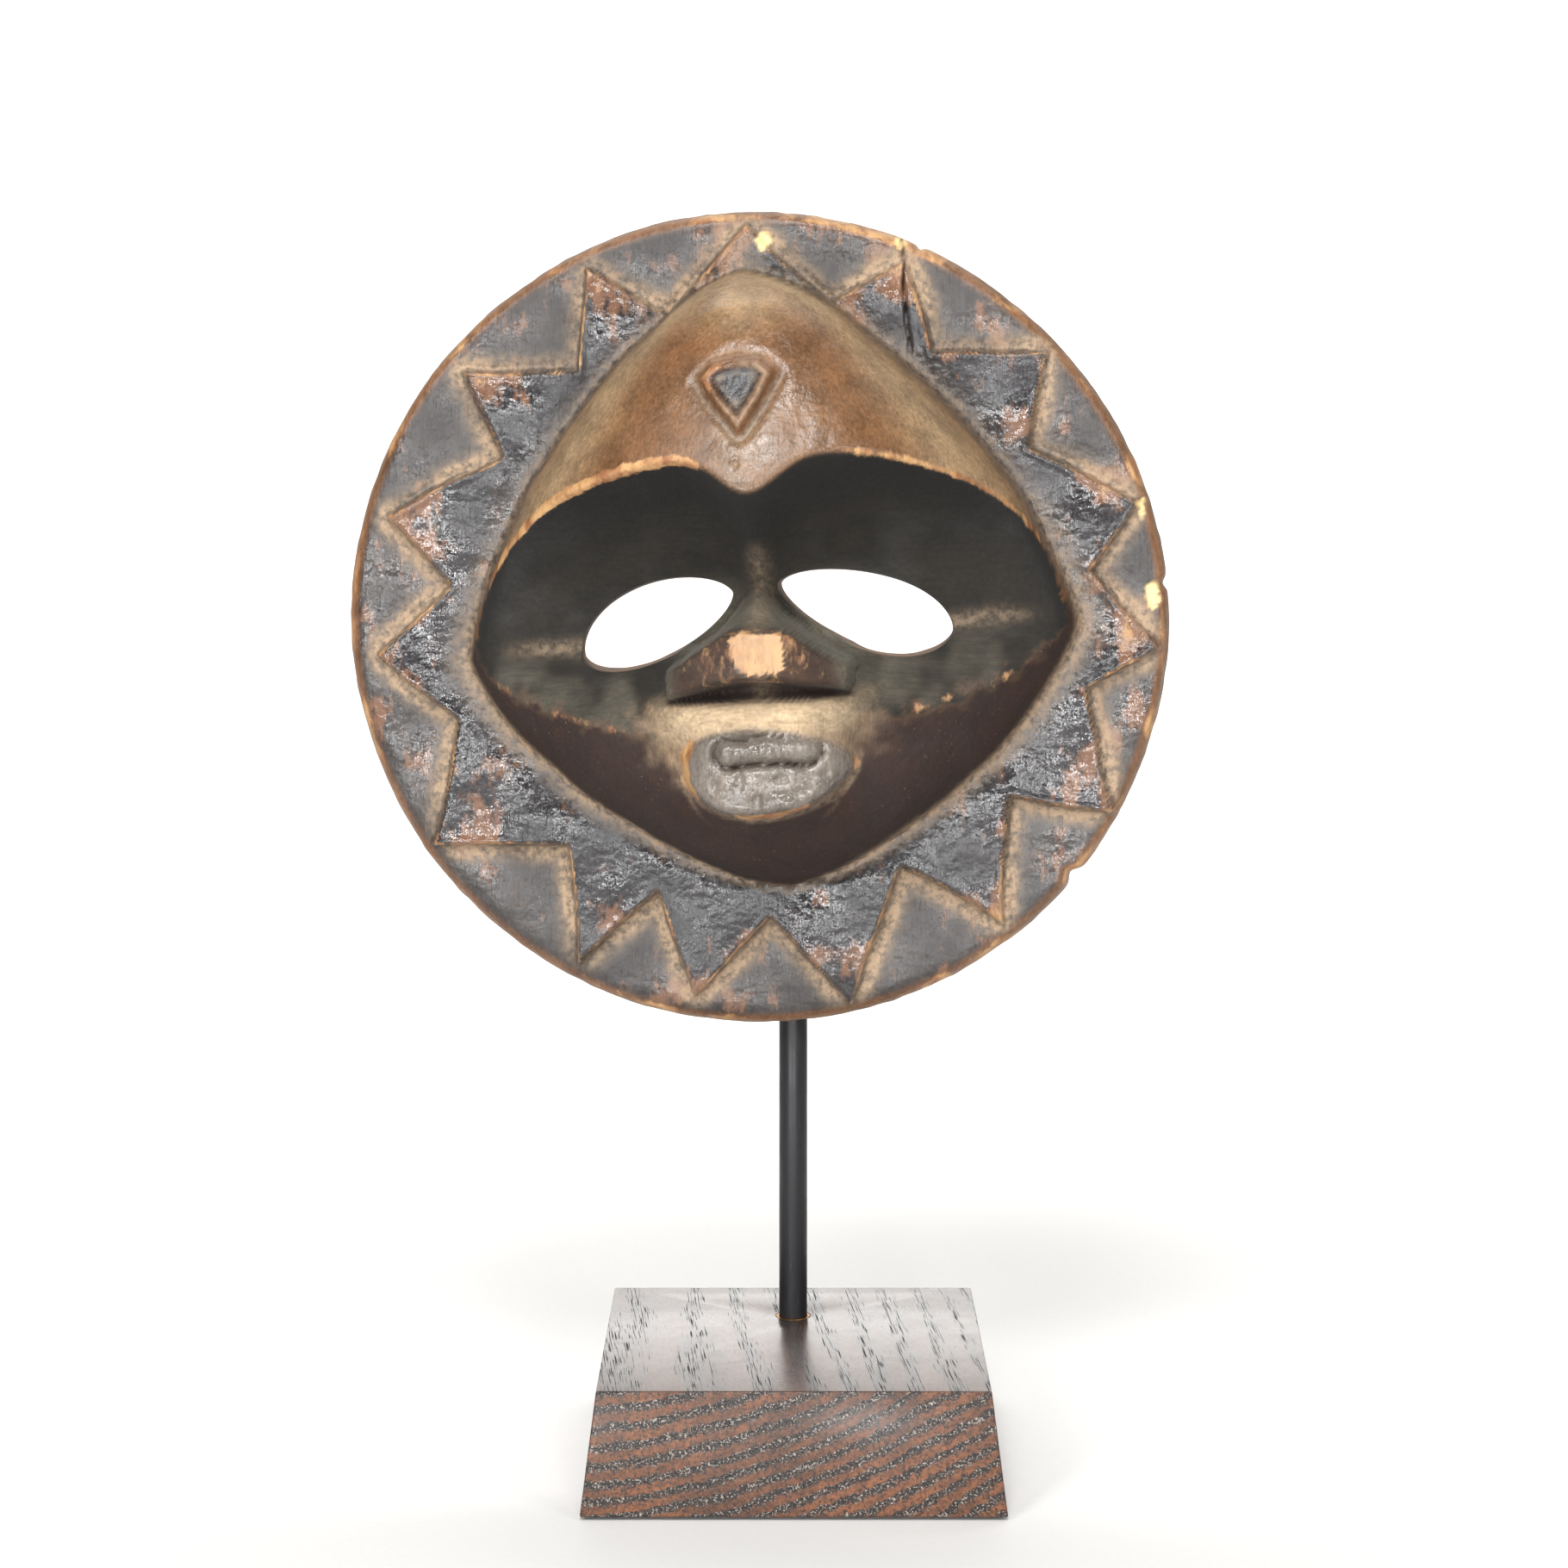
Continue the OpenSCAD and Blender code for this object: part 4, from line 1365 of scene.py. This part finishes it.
@dataclass(frozen=True)
class Felt:
    """Pressed wool felt."""

    name: str = "dark_felt"
    dark: Colour = tint(30, 32, 30)
    light: Colour = tint(70, 72, 68)
    lint: Colour = tint(130, 130, 122)

    def material(self, effects: Effects) -> Material:
        """Return the finish, matted and a little linty."""
        made, g, shader = start_material(self.name)
        mm = g.in_mm()
        matted = g.noise(mm, 2.4, detail=6.0, rough=0.7, bend=1.2)
        lint = g.group(effects.flecks, Vector=mm, Size=0.9, Cover=0.14, Softness=0.3)
        colour = g.mix(g.remap(matted, 0.3, 0.7), self.dark, self.light)
        g.feed(shader.inputs["Base Color"], g.mix(g.times(lint.outputs[0], 0.5), colour, self.lint))
        g.feed(shader.inputs["Roughness"], g.remap(matted, 0.3, 0.7, 0.85, 1.0))
        g.emboss(shader, matted, 0.8, 0.0003)
        shader.inputs["Sheen Weight"].default_value = 0.35
        shader.inputs["Sheen Roughness"].default_value = 0.5
        return made


# ----- Geometry trees -----


class Makers:
    """Geometry trees that make what repeats or follows a line, each built once."""

    tip_r = 0.0001
    thread_r = 0.0002

    def __init__(self) -> None:
        """Build the trees."""
        self.screw = self._screw()
        self.bead = self._bead()
        self.fuzz = self._fuzz()

    def run(self, obj: Obj, tree: Tree, **sizes: object) -> Obj:
        """Run a tree on an object and keep its result as plain mesh.

        Args:
            obj: The object that the tree works on.
            tree: The tree.
            **sizes: A value for each named input; spaces are written as underscores.

        Returns:
            The same object, with its new mesh.
        """
        modifier = obj.modifiers.new(tree.name, "NODES")
        modifier.node_group = tree
        inputs = [item for item in tree.interface.items_tree if item.in_out == "INPUT"]
        names = {item.name: item.identifier for item in inputs}
        for key, value in sizes.items():
            modifier[names[key.replace("_", " ")]] = value
        return baked(obj)

    def _finish_tree(self, g: Graph, takes: bpy.types.NodeOutputs, gives: bpy.types.NodeInputs,
                     shape: Socket) -> Tree:
        """End a tree: realise what it made and give it its finish."""
        real = g.node("GeometryNodeRealizeInstances", {0: shape}).outputs[0]
        feeds = {"Geometry": real, "Material": takes["Finish"]}
        g.feed(gives[0], g.node("GeometryNodeSetMaterial", feeds).outputs[0])
        return g.tree

    def _cone(self, g: Graph, sides: int, top: object, bottom: object, depth: object) -> Socket:
        """Add an upright cone or rod that starts at 0."""
        feeds = {"Vertices": sides, "Radius Top": top, "Radius Bottom": bottom, "Depth": depth}
        return g.node("GeometryNodeMeshCone", feeds).outputs[0]

    def _raised(self, g: Graph, shape: Socket, by: Socket) -> Socket:
        """Move a shape up."""
        up = g.node("ShaderNodeCombineXYZ", {2: by}).outputs[0]
        return g.node("GeometryNodeTransform", {"Geometry": shape, "Translation": up}).outputs[0]

    def _swept(self, g: Graph, line: Socket, sides: int, radius: float,
               feeds: dict[str, Socket] | None = None) -> Socket:
        """Make a tube along a line; feeds may hold its scale."""
        ring = g.node("GeometryNodeCurvePrimitiveCircle", {"Resolution": sides, "Radius": radius},
                      mode="RADIUS").outputs[0]
        given = {"Curve": line, "Profile Curve": ring, "Fill Caps": True, **(feeds or {})}
        return g.node("GeometryNodeCurveToMesh", given).outputs[0]

    def _screw(self) -> Tree:
        """Slotted round-head wood screw along Z, the underside of its head at 0."""
        g, takes, gives = new_tree("slotted_screw", "GeometryNodeTree", (
            ("Geometry", "Geometry", None), ("Head Radius", "Float", 0.0033),
            ("Head Height", "Float", 0.0022), ("Shank Radius", "Float", 0.0014),
            ("Length", "Float", 0.0126), ("Slot Width", "Float", 0.0009), ("Pitch", "Float", 0.0012),
            ("Finish", "Material", None)), (("Geometry", "Geometry"),))
        flange_share, crown_share, waist_share, body_share, thread_share = 0.45, 0.66, 1.42, 0.78, 0.7
        low = g.times(takes["Head Height"], flange_share)
        wide = g.times(takes["Head Radius"], crown_share)
        waist = g.times(wide, waist_share)
        body = g.times(takes["Length"], body_share)
        threaded = g.times(body, thread_share)
        flange = self._cone(g, 48, waist, takes["Head Radius"], low)
        crown = self._cone(g, 48, wide, waist, g.minus(takes["Head Height"], low))
        head = g.node("GeometryNodeMeshBoolean", operation="UNION")
        g.feed(head.inputs["Mesh 2"], flange)
        g.feed(head.inputs["Mesh 2"], self._raised(g, crown, low))
        past_head = g.times(takes["Head Radius"], 3.0)
        slot = {0: past_head, 1: takes["Slot Width"], 2: takes["Head Height"]}
        size = g.node("ShaderNodeCombineXYZ", slot).outputs[0]
        knife = g.node("GeometryNodeMeshCube", {"Size": size}).outputs[0]
        cut = g.node("GeometryNodeMeshBoolean", {
            "Mesh 1": head.outputs[0], "Mesh 2": self._raised(g, knife, takes["Head Height"])},
            operation="DIFFERENCE").outputs[0]
        down = g.times(body, -1.0)
        rod = self._cone(g, 24, takes["Shank Radius"], takes["Shank Radius"], body)
        tip = self._cone(g, 24, takes["Shank Radius"], self.tip_r,
                         g.times(takes["Length"], 1.0 - body_share))
        helix = g.node("GeometryNodeCurveSpiral", {
            "Resolution": 16, "Rotations": g.over(threaded, takes["Pitch"]), "Height": threaded,
            "Start Radius": takes["Shank Radius"], "End Radius": takes["Shank Radius"]}).outputs[0]
        thread = self._swept(g, helix, 4, self.thread_r)
        whole = g.node("GeometryNodeJoinGeometry")
        end = g.times(takes["Length"], -1.0)
        for part in (cut, self._raised(g, rod, down), self._raised(g, tip, end),
                     self._raised(g, thread, down)):
            g.feed(whole.inputs[0], part)
        return self._finish_tree(g, takes, gives, whole.outputs[0])

    def _bead(self) -> Tree:
        """Run of braze along each edge of a mesh, uneven in width."""
        g, takes, gives = new_tree("braze_bead", "GeometryNodeTree", (
            ("Geometry", "Geometry", None), ("Radius", "Float", 0.0008), ("Ripple", "Float", 0.3),
            ("Step", "Float", 0.0006), ("Finish", "Material", None)), (("Geometry", "Geometry"),))
        line = g.node("GeometryNodeMeshToCurve", {"Mesh": takes["Geometry"]})
        steps = g.node("GeometryNodeResampleCurve", {"Curve": line.outputs[0], "Length": takes["Step"]},
                       mode="LENGTH").outputs[0]
        uneven = g.noise(g.node("GeometryNodeInputPosition").outputs[0], 900.0, detail=2.0)
        grow = g.times(g.minus(uneven, 0.5), takes["Ripple"])
        radius = g.times(takes["Radius"], g.plus(1.0, g.times(grow, 2.0)))
        return self._finish_tree(g, takes, gives, self._swept(g, steps, 12, 1.0, {"Scale": radius}))

    def _fuzz(self) -> Tree:
        """Loose wool fibres that stand out of a felt's cut edges."""
        g, takes, gives = new_tree("felt_fuzz", "GeometryNodeTree", (
            ("Geometry", "Geometry", None), ("Density", "Float", 900000.0), ("Length", "Float", 0.0007),
            ("Thickness", "Float", 0.00005), ("Seed", "Int", 7), ("Finish", "Material", None)),
            (("Geometry", "Geometry"),))
        facing = g.node("ShaderNodeSeparateXYZ", {0: g.node("GeometryNodeInputNormal").outputs[0]})
        side = g.node("FunctionNodeCompare", {0: g.math("ABSOLUTE", facing.outputs[2]), 1: 0.5},
                      data_type="FLOAT", operation="LESS_THAN")
        points = g.node("GeometryNodeDistributePointsOnFaces", {
            "Mesh": takes["Geometry"], "Selection": side.outputs[0], "Density": takes["Density"],
            "Seed": takes["Seed"]})
        hair = self._cone(g, 3, 0.0, takes["Thickness"], takes["Length"])
        tilt = g.node("FunctionNodeRandomValue", {
            0: (-0.7, -0.7, 0.0), 1: (0.7, 0.7, 3.0), "Seed": takes["Seed"]}, data_type="FLOAT_VECTOR")
        turned = g.node("FunctionNodeRotateRotation", {0: points.outputs["Rotation"], 1: tilt.outputs[0]},
                        rotation_space="LOCAL")
        hairs = g.node("GeometryNodeInstanceOnPoints", {
            "Points": points.outputs[0], "Instance": hair, "Rotation": turned.outputs[0]})
        whole = g.node("GeometryNodeJoinGeometry")
        g.feed(whole.inputs[0], hairs.outputs[0])
        g.feed(whole.inputs[0], takes["Geometry"])
        return self._finish_tree(g, takes, gives, whole.outputs[0])


# ----- Sub-assemblies -----


class Body(Enum):
    """The two things that move against each other."""

    STAND = "stand"
    UPRIGHT = "mask_on_post"


@dataclass
class Workshop:
    """Everything a sub-assembly needs: the frame's nodes, the finishes and the tree makers."""

    nodes: dict[str, Obj]
    makers: Makers
    mask_wood: Material
    base_wood: Material
    steel: Material
    brass: Material
    felt: Material
    pad_felt: Material
    eased_from: float = 35.0
    sharp_from: float = 32.0
    fibres_per_m2: float = 1.6e6

    def copy_of(self, node: str, name: str) -> Obj:
        """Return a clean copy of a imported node's mesh, its flat faces whole again."""
        mesh = self.nodes[node].data.copy()
        mesh.materials.clear()
        mesh.transform(self.nodes[node].matrix_world)
        work = bmesh.new()
        work.from_mesh(mesh)
        bmesh.ops.remove_doubles(work, verts=work.verts, dist=1e-6)
        bmesh.ops.dissolve_limit(work, angle_limit=math.radians(0.5), verts=work.verts, edges=work.edges)
        work.to_mesh(mesh)
        work.free()
        obj = bpy.data.objects.new(name, mesh)
        bpy.context.collection.objects.link(obj)
        return obj

    def ease_edges(self, obj: Obj, width: float, steps: int = 2) -> Obj:
        """Round an object's edges by a width in millimetres, and shade it."""
        bevel = obj.modifiers.new("eased_edges", "BEVEL")
        bevel.width, bevel.segments = width * MM, steps
        bevel.limit_method, bevel.angle_limit = "ANGLE", math.radians(self.eased_from)
        bevel.use_clamp_overlap = True
        self.smooth(baked(obj))
        return obj

    def smooth(self, obj: Obj) -> None:
        """Shade an object smooth across all but its sharp edges."""
        obj.data.shade_smooth()
        obj.data.set_sharp_from_angle(angle=math.radians(self.sharp_from))

    def raise_fuzz(self, obj: Obj, length: float, seed: int, finish: Material) -> None:
        """Let loose fibres of a length in metres stand out of a felt's cut edges."""
        self.makers.run(obj, self.makers.fuzz, Length=length, Density=self.fibres_per_m2, Seed=seed,
                        Finish=finish)

    def hand_over(self, obj: Obj, body: Body, slot: str, material: Material, *nodes: str) -> None:
        """Give a finished piece its material, its body and the nodes it stands for."""
        obj.data.materials.clear()
        obj.data.materials.append(material)
        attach(obj, body.value)
        if nodes:
            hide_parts(*nodes)
        reach = ", ".join(f"{v / MM:.1f}" for v in obj.dimensions)
        LOG.info("%s rides on %s, %d faces, %s mm", obj.name, body.value, len(obj.data.polygons), reach)


@dataclass
class Stand:
    """The block, its felt and the brass sleeve that the post turns in."""

    shop: Workshop
    edge: float = 0.5
    fuzz_length: float = 0.0006
    off_floor: float = 0.00005

    def build(self) -> None:
        """Make the three pieces."""
        shop = self.shop
        block = shop.ease_edges(shop.copy_of("base_block", "turned_out_block"), self.edge, 3)
        shop.hand_over(block, Body.STAND, "base_wood", shop.base_wood, "base_block")
        sleeve = shop.ease_edges(shop.copy_of("socket_sleeve", "swivel_sleeve"), 0.15)
        shop.hand_over(sleeve, Body.STAND, "brass", shop.brass, "socket_sleeve")
        sheet = shop.ease_edges(shop.copy_of("base_felt", "underside_felt"), 0.25)
        shop.raise_fuzz(sheet, self.fuzz_length, 5, shop.felt)
        points = read_points(sheet.data)
        points[:, 2] = np.maximum(points[:, 2], self.off_floor)
        sheet.data.vertices.foreach_set("co", points.reshape(-1))
        shop.hand_over(sheet, Body.STAND, "felt", shop.felt, "base_felt")


@dataclass
class Upright:
    """The post with the plate that carries the mask, its pad, its screws and its braze."""

    shop: Workshop
    axis: tuple[float, float]
    turn: float = 4.5
    flat_at: float = 2.97
    screw_side: float = 21.0
    screw_z: float = 149.2
    screw_length: float = 12.7
    screw_turns: tuple[float, float] = (24.0, -51.0)
    post_r: float = 3.97
    braze_half: float = 9.6
    braze_r: float = 0.75
    fuzz_length: float = 0.0007

    def place(self) -> Matrix:
        """Return the turn and shift from the post's own millimetres to the scene."""
        return (Matrix.Translation((*self.axis, 0.0)) @ Matrix.Rotation(math.radians(-self.turn), 4, "Z")
                @ Matrix.Scale(MM, 4))

    def build(self) -> None:
        """Make the post, plate, pad, screws and braze."""
        shop = self.shop
        post = shop.ease_edges(shop.copy_of("post", "swivel_post"), 0.35)
        shop.hand_over(post, Body.UPRIGHT, "black_steel", shop.steel, "post")
        plate = shop.ease_edges(shop.copy_of("saddle_plate", "carrying_plate"), 0.6, 3)
        shop.hand_over(plate, Body.UPRIGHT, "black_steel", shop.steel, "saddle_plate")
        pad = shop.ease_edges(shop.copy_of("saddle_pad", "plate_cushion"), 0.5, 2)
        shop.raise_fuzz(pad, self.fuzz_length, 9, shop.pad_felt)
        shop.hand_over(pad, Body.UPRIGHT, "pad_felt", shop.pad_felt, "saddle_pad")
        for side, spin, node in zip((-1, 1), self.screw_turns, ("screw_left", "screw_right")):
            self._screw(side, spin, node)
        self._braze()

    def _screw(self, side: int, spin: float, node: str) -> None:
        """Make one screw, its slot turned as it was left."""
        screw = new_object(f"slotted_{node}", [(0, 0, 0)], [])
        self.shop.makers.run(screw, self.shop.makers.screw, Length=self.screw_length * MM,
                             Finish=self.shop.steel)
        lie = Euler((math.radians(-90.0), 0.0, 0.0)).to_matrix().to_4x4()
        at = Matrix.Translation((side * self.screw_side, -self.flat_at, self.screw_z))
        local = self.place() @ at @ Matrix.Scale(1.0 / MM, 4) @ lie
        screw.data.transform(local @ Matrix.Rotation(math.radians(spin), 4, "Z"))
        self.shop.smooth(screw)
        self.shop.hand_over(screw, Body.UPRIGHT, "black_steel", self.shop.steel, node)

    def _braze(self) -> None:
        """Run a bead of braze down both sides of the post where it meets the plate."""
        reach = math.sqrt(self.post_r**2 - self.flat_at**2)
        low, high = self.screw_z - self.braze_half, self.screw_z + self.braze_half
        x, y = reach + 0.1, -self.flat_at + 0.15
        points = [(-x, y, low), (-x, y, high), (x, y, low), (x, y, high)]
        mesh = bpy.data.meshes.new("braze_lines")
        mesh.from_pydata([self.place() @ Vector(p) for p in points], [(0, 1), (2, 3)], [])
        bead = bpy.data.objects.new("braze_beads", mesh)
        bpy.context.collection.objects.link(bead)
        self.shop.makers.run(bead, self.shop.makers.bead, Radius=self.braze_r * MM, Ripple=0.35,
                             Finish=self.shop.steel)
        bead.data.shade_smooth()
        self.shop.hand_over(bead, Body.UPRIGHT, "black_steel", self.shop.steel)


# ----- Studio -----


@dataclass(frozen=True)
class SoftBox:
    """A square lamp: its place, what it looks at, its size in metres and its power in watts."""

    name: str
    at: tuple[float, float, float]
    aim: tuple[float, float, float]
    size: float
    power: float
    colour: Colour = (1.0, 1.0, 1.0)

    def build(self) -> None:
        """Hang the lamp."""
        lamp = bpy.data.lights.new(self.name, "AREA")
        lamp.shape, lamp.size, lamp.energy, lamp.color = "SQUARE", self.size, self.power, self.colour
        obj = bpy.data.objects.new(self.name, lamp)
        obj.location = self.at
        obj.rotation_euler = (Vector(self.at) - Vector(self.aim)).to_track_quat("Z", "Y").to_euler()
        obj.visible_camera = False
        bpy.context.collection.objects.link(obj)


@dataclass
class Studio:
    """A pale sweep, soft lamps, two small ones for the glints, a lit wall and the camera."""

    eye: tuple[float, float, float] = (-0.0026, -0.9341, 0.2997)
    pitch: float = 6.787
    lens: float = 79.2
    ambient: float = 0.15
    mirrored: float = 0.1
    backdrop: float = 0.93
    sweep_front: float = -1.7
    sweep_y: float = 1.3
    sweep_r: float = 1.2
    sweep_half: float = 5.0
    sweep_top: float = 5.0
    paper: tuple[Colour, Colour] = (tint(208, 207, 205), tint(214, 213, 211))
    lamps: tuple[SoftBox, ...] = (
        SoftBox("left_lamp", (-0.7, -0.95, 0.85), (0.0, 0.0, 0.22), 0.4, 7.5),
        SoftBox("right_lamp", (0.8, -0.85, 0.65), (0.0, 0.0, 0.2), 0.35, 4.5),
        SoftBox("top_lamp", (-0.05, -0.75, 1.1), (0.0, 0.0, 0.22), 0.35, 10.0),
        SoftBox("front_lamp", (-0.15, -1.1, 0.85), (0.0, 0.0, 0.22), 0.25, 3.0),
        SoftBox("left_spark", (-0.43, -1.0, 0.16), (-0.06, 0.0, 0.22), 0.1, 4.6),
        SoftBox("right_spark", (0.13, -1.0, 0.18), (0.06, 0.0, 0.22), 0.1, 3.8),
        SoftBox("wall_lamp", (0.0, 0.75, 1.7), (0.0, 2.3, 0.7), 1.4, 84.0),
    )

    def build(self) -> None:
        """Set up the sweep, the lamps and the camera."""
        self._camera()
        self._sweep()
        for lamp in self.lamps:
            lamp.build()
        world = bpy.data.worlds.new("studio_air")
        world.use_nodes = True
        g = Graph(world.node_tree)
        sight = g.node("ShaderNodeLightPath")
        seen = g.between(sight.outputs["Is Glossy Ray"], self.ambient, self.mirrored)
        air = world.node_tree.nodes["Background"]
        g.feed(air.inputs[0], (1.0, 1.0, 1.0))
        g.feed(air.inputs[1], g.between(sight.outputs["Is Camera Ray"], seen, self.backdrop))
        bpy.context.scene.world = world
        bpy.context.scene.view_settings.view_transform = "Standard"

    def _camera(self) -> None:
        """Stand the camera in front, a little above the mask's middle."""
        data = bpy.data.cameras.new("camera")
        data.lens, data.sensor_width = self.lens, 36.0
        data.clip_start, data.clip_end = 0.05, 20.0
        camera = bpy.data.objects.new("camera", data)
        camera.location = self.eye
        camera.rotation_euler = (math.radians(90.0 - self.pitch), 0.0, 0.0)
        bpy.context.collection.objects.link(camera)
        bpy.context.scene.camera = camera

    def _sweep(self) -> None:
        """Lay a pale floor that curves up into a wall behind."""
        bend = [(self.sweep_y + self.sweep_r * math.sin(a), self.sweep_r * (1.0 - math.cos(a)))
                for a in np.linspace(0.0, math.pi / 2.0, 33)]
        profile = [(self.sweep_front, 0.0), *bend, (self.sweep_y + self.sweep_r, self.sweep_top)]
        points = [(x, y, z) for y, z in profile for x in (-self.sweep_half, self.sweep_half)]
        faces = [(2 * k, 2 * k + 1, 2 * k + 3, 2 * k + 2) for k in range(len(profile) - 1)]
        sweep = new_object("studio_sweep", points, faces)
        sweep.data.shade_smooth()
        paper, g, shader = start_material("pale_paper")
        grain = g.noise(g.in_mm(), 0.5, detail=3.0)
        g.feed(shader.inputs["Base Color"], g.mix(grain, *self.paper))
        shader.inputs["Roughness"].default_value = 0.75
        sweep.data.materials.append(paper)


# ----- The whole scene -----


def main() -> None:
    """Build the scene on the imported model."""
    logging.basicConfig(level=logging.INFO, format="%(message)s")
    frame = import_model()
    Studio().build()

    effects = Effects()
    shop = Workshop(
        nodes=frame["nodes"], makers=Makers(),
        mask_wood=MaskWood().material(effects), base_wood=BaseWood().material(effects),
        steel=BlackSteel().material(effects), brass=Brass().material(effects),
        felt=Felt().material(effects),
        pad_felt=Felt("pad_felt", tint(26, 26, 28), tint(58, 58, 60)).material(effects),
    )
    low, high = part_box("post")
    axis = ((low.x + high.x) / 2.0, (low.y + high.y) / 2.0)
    mask = MaskPiece(Carving(), post_axis=axis).build()
    shop.hand_over(mask, Body.UPRIGHT, "mask_wood", shop.mask_wood, "mask")
    Stand(shop).build()
    Upright(shop, axis).build()

    LOG.info("sizes written")


if __name__ == "__main__":
    main()
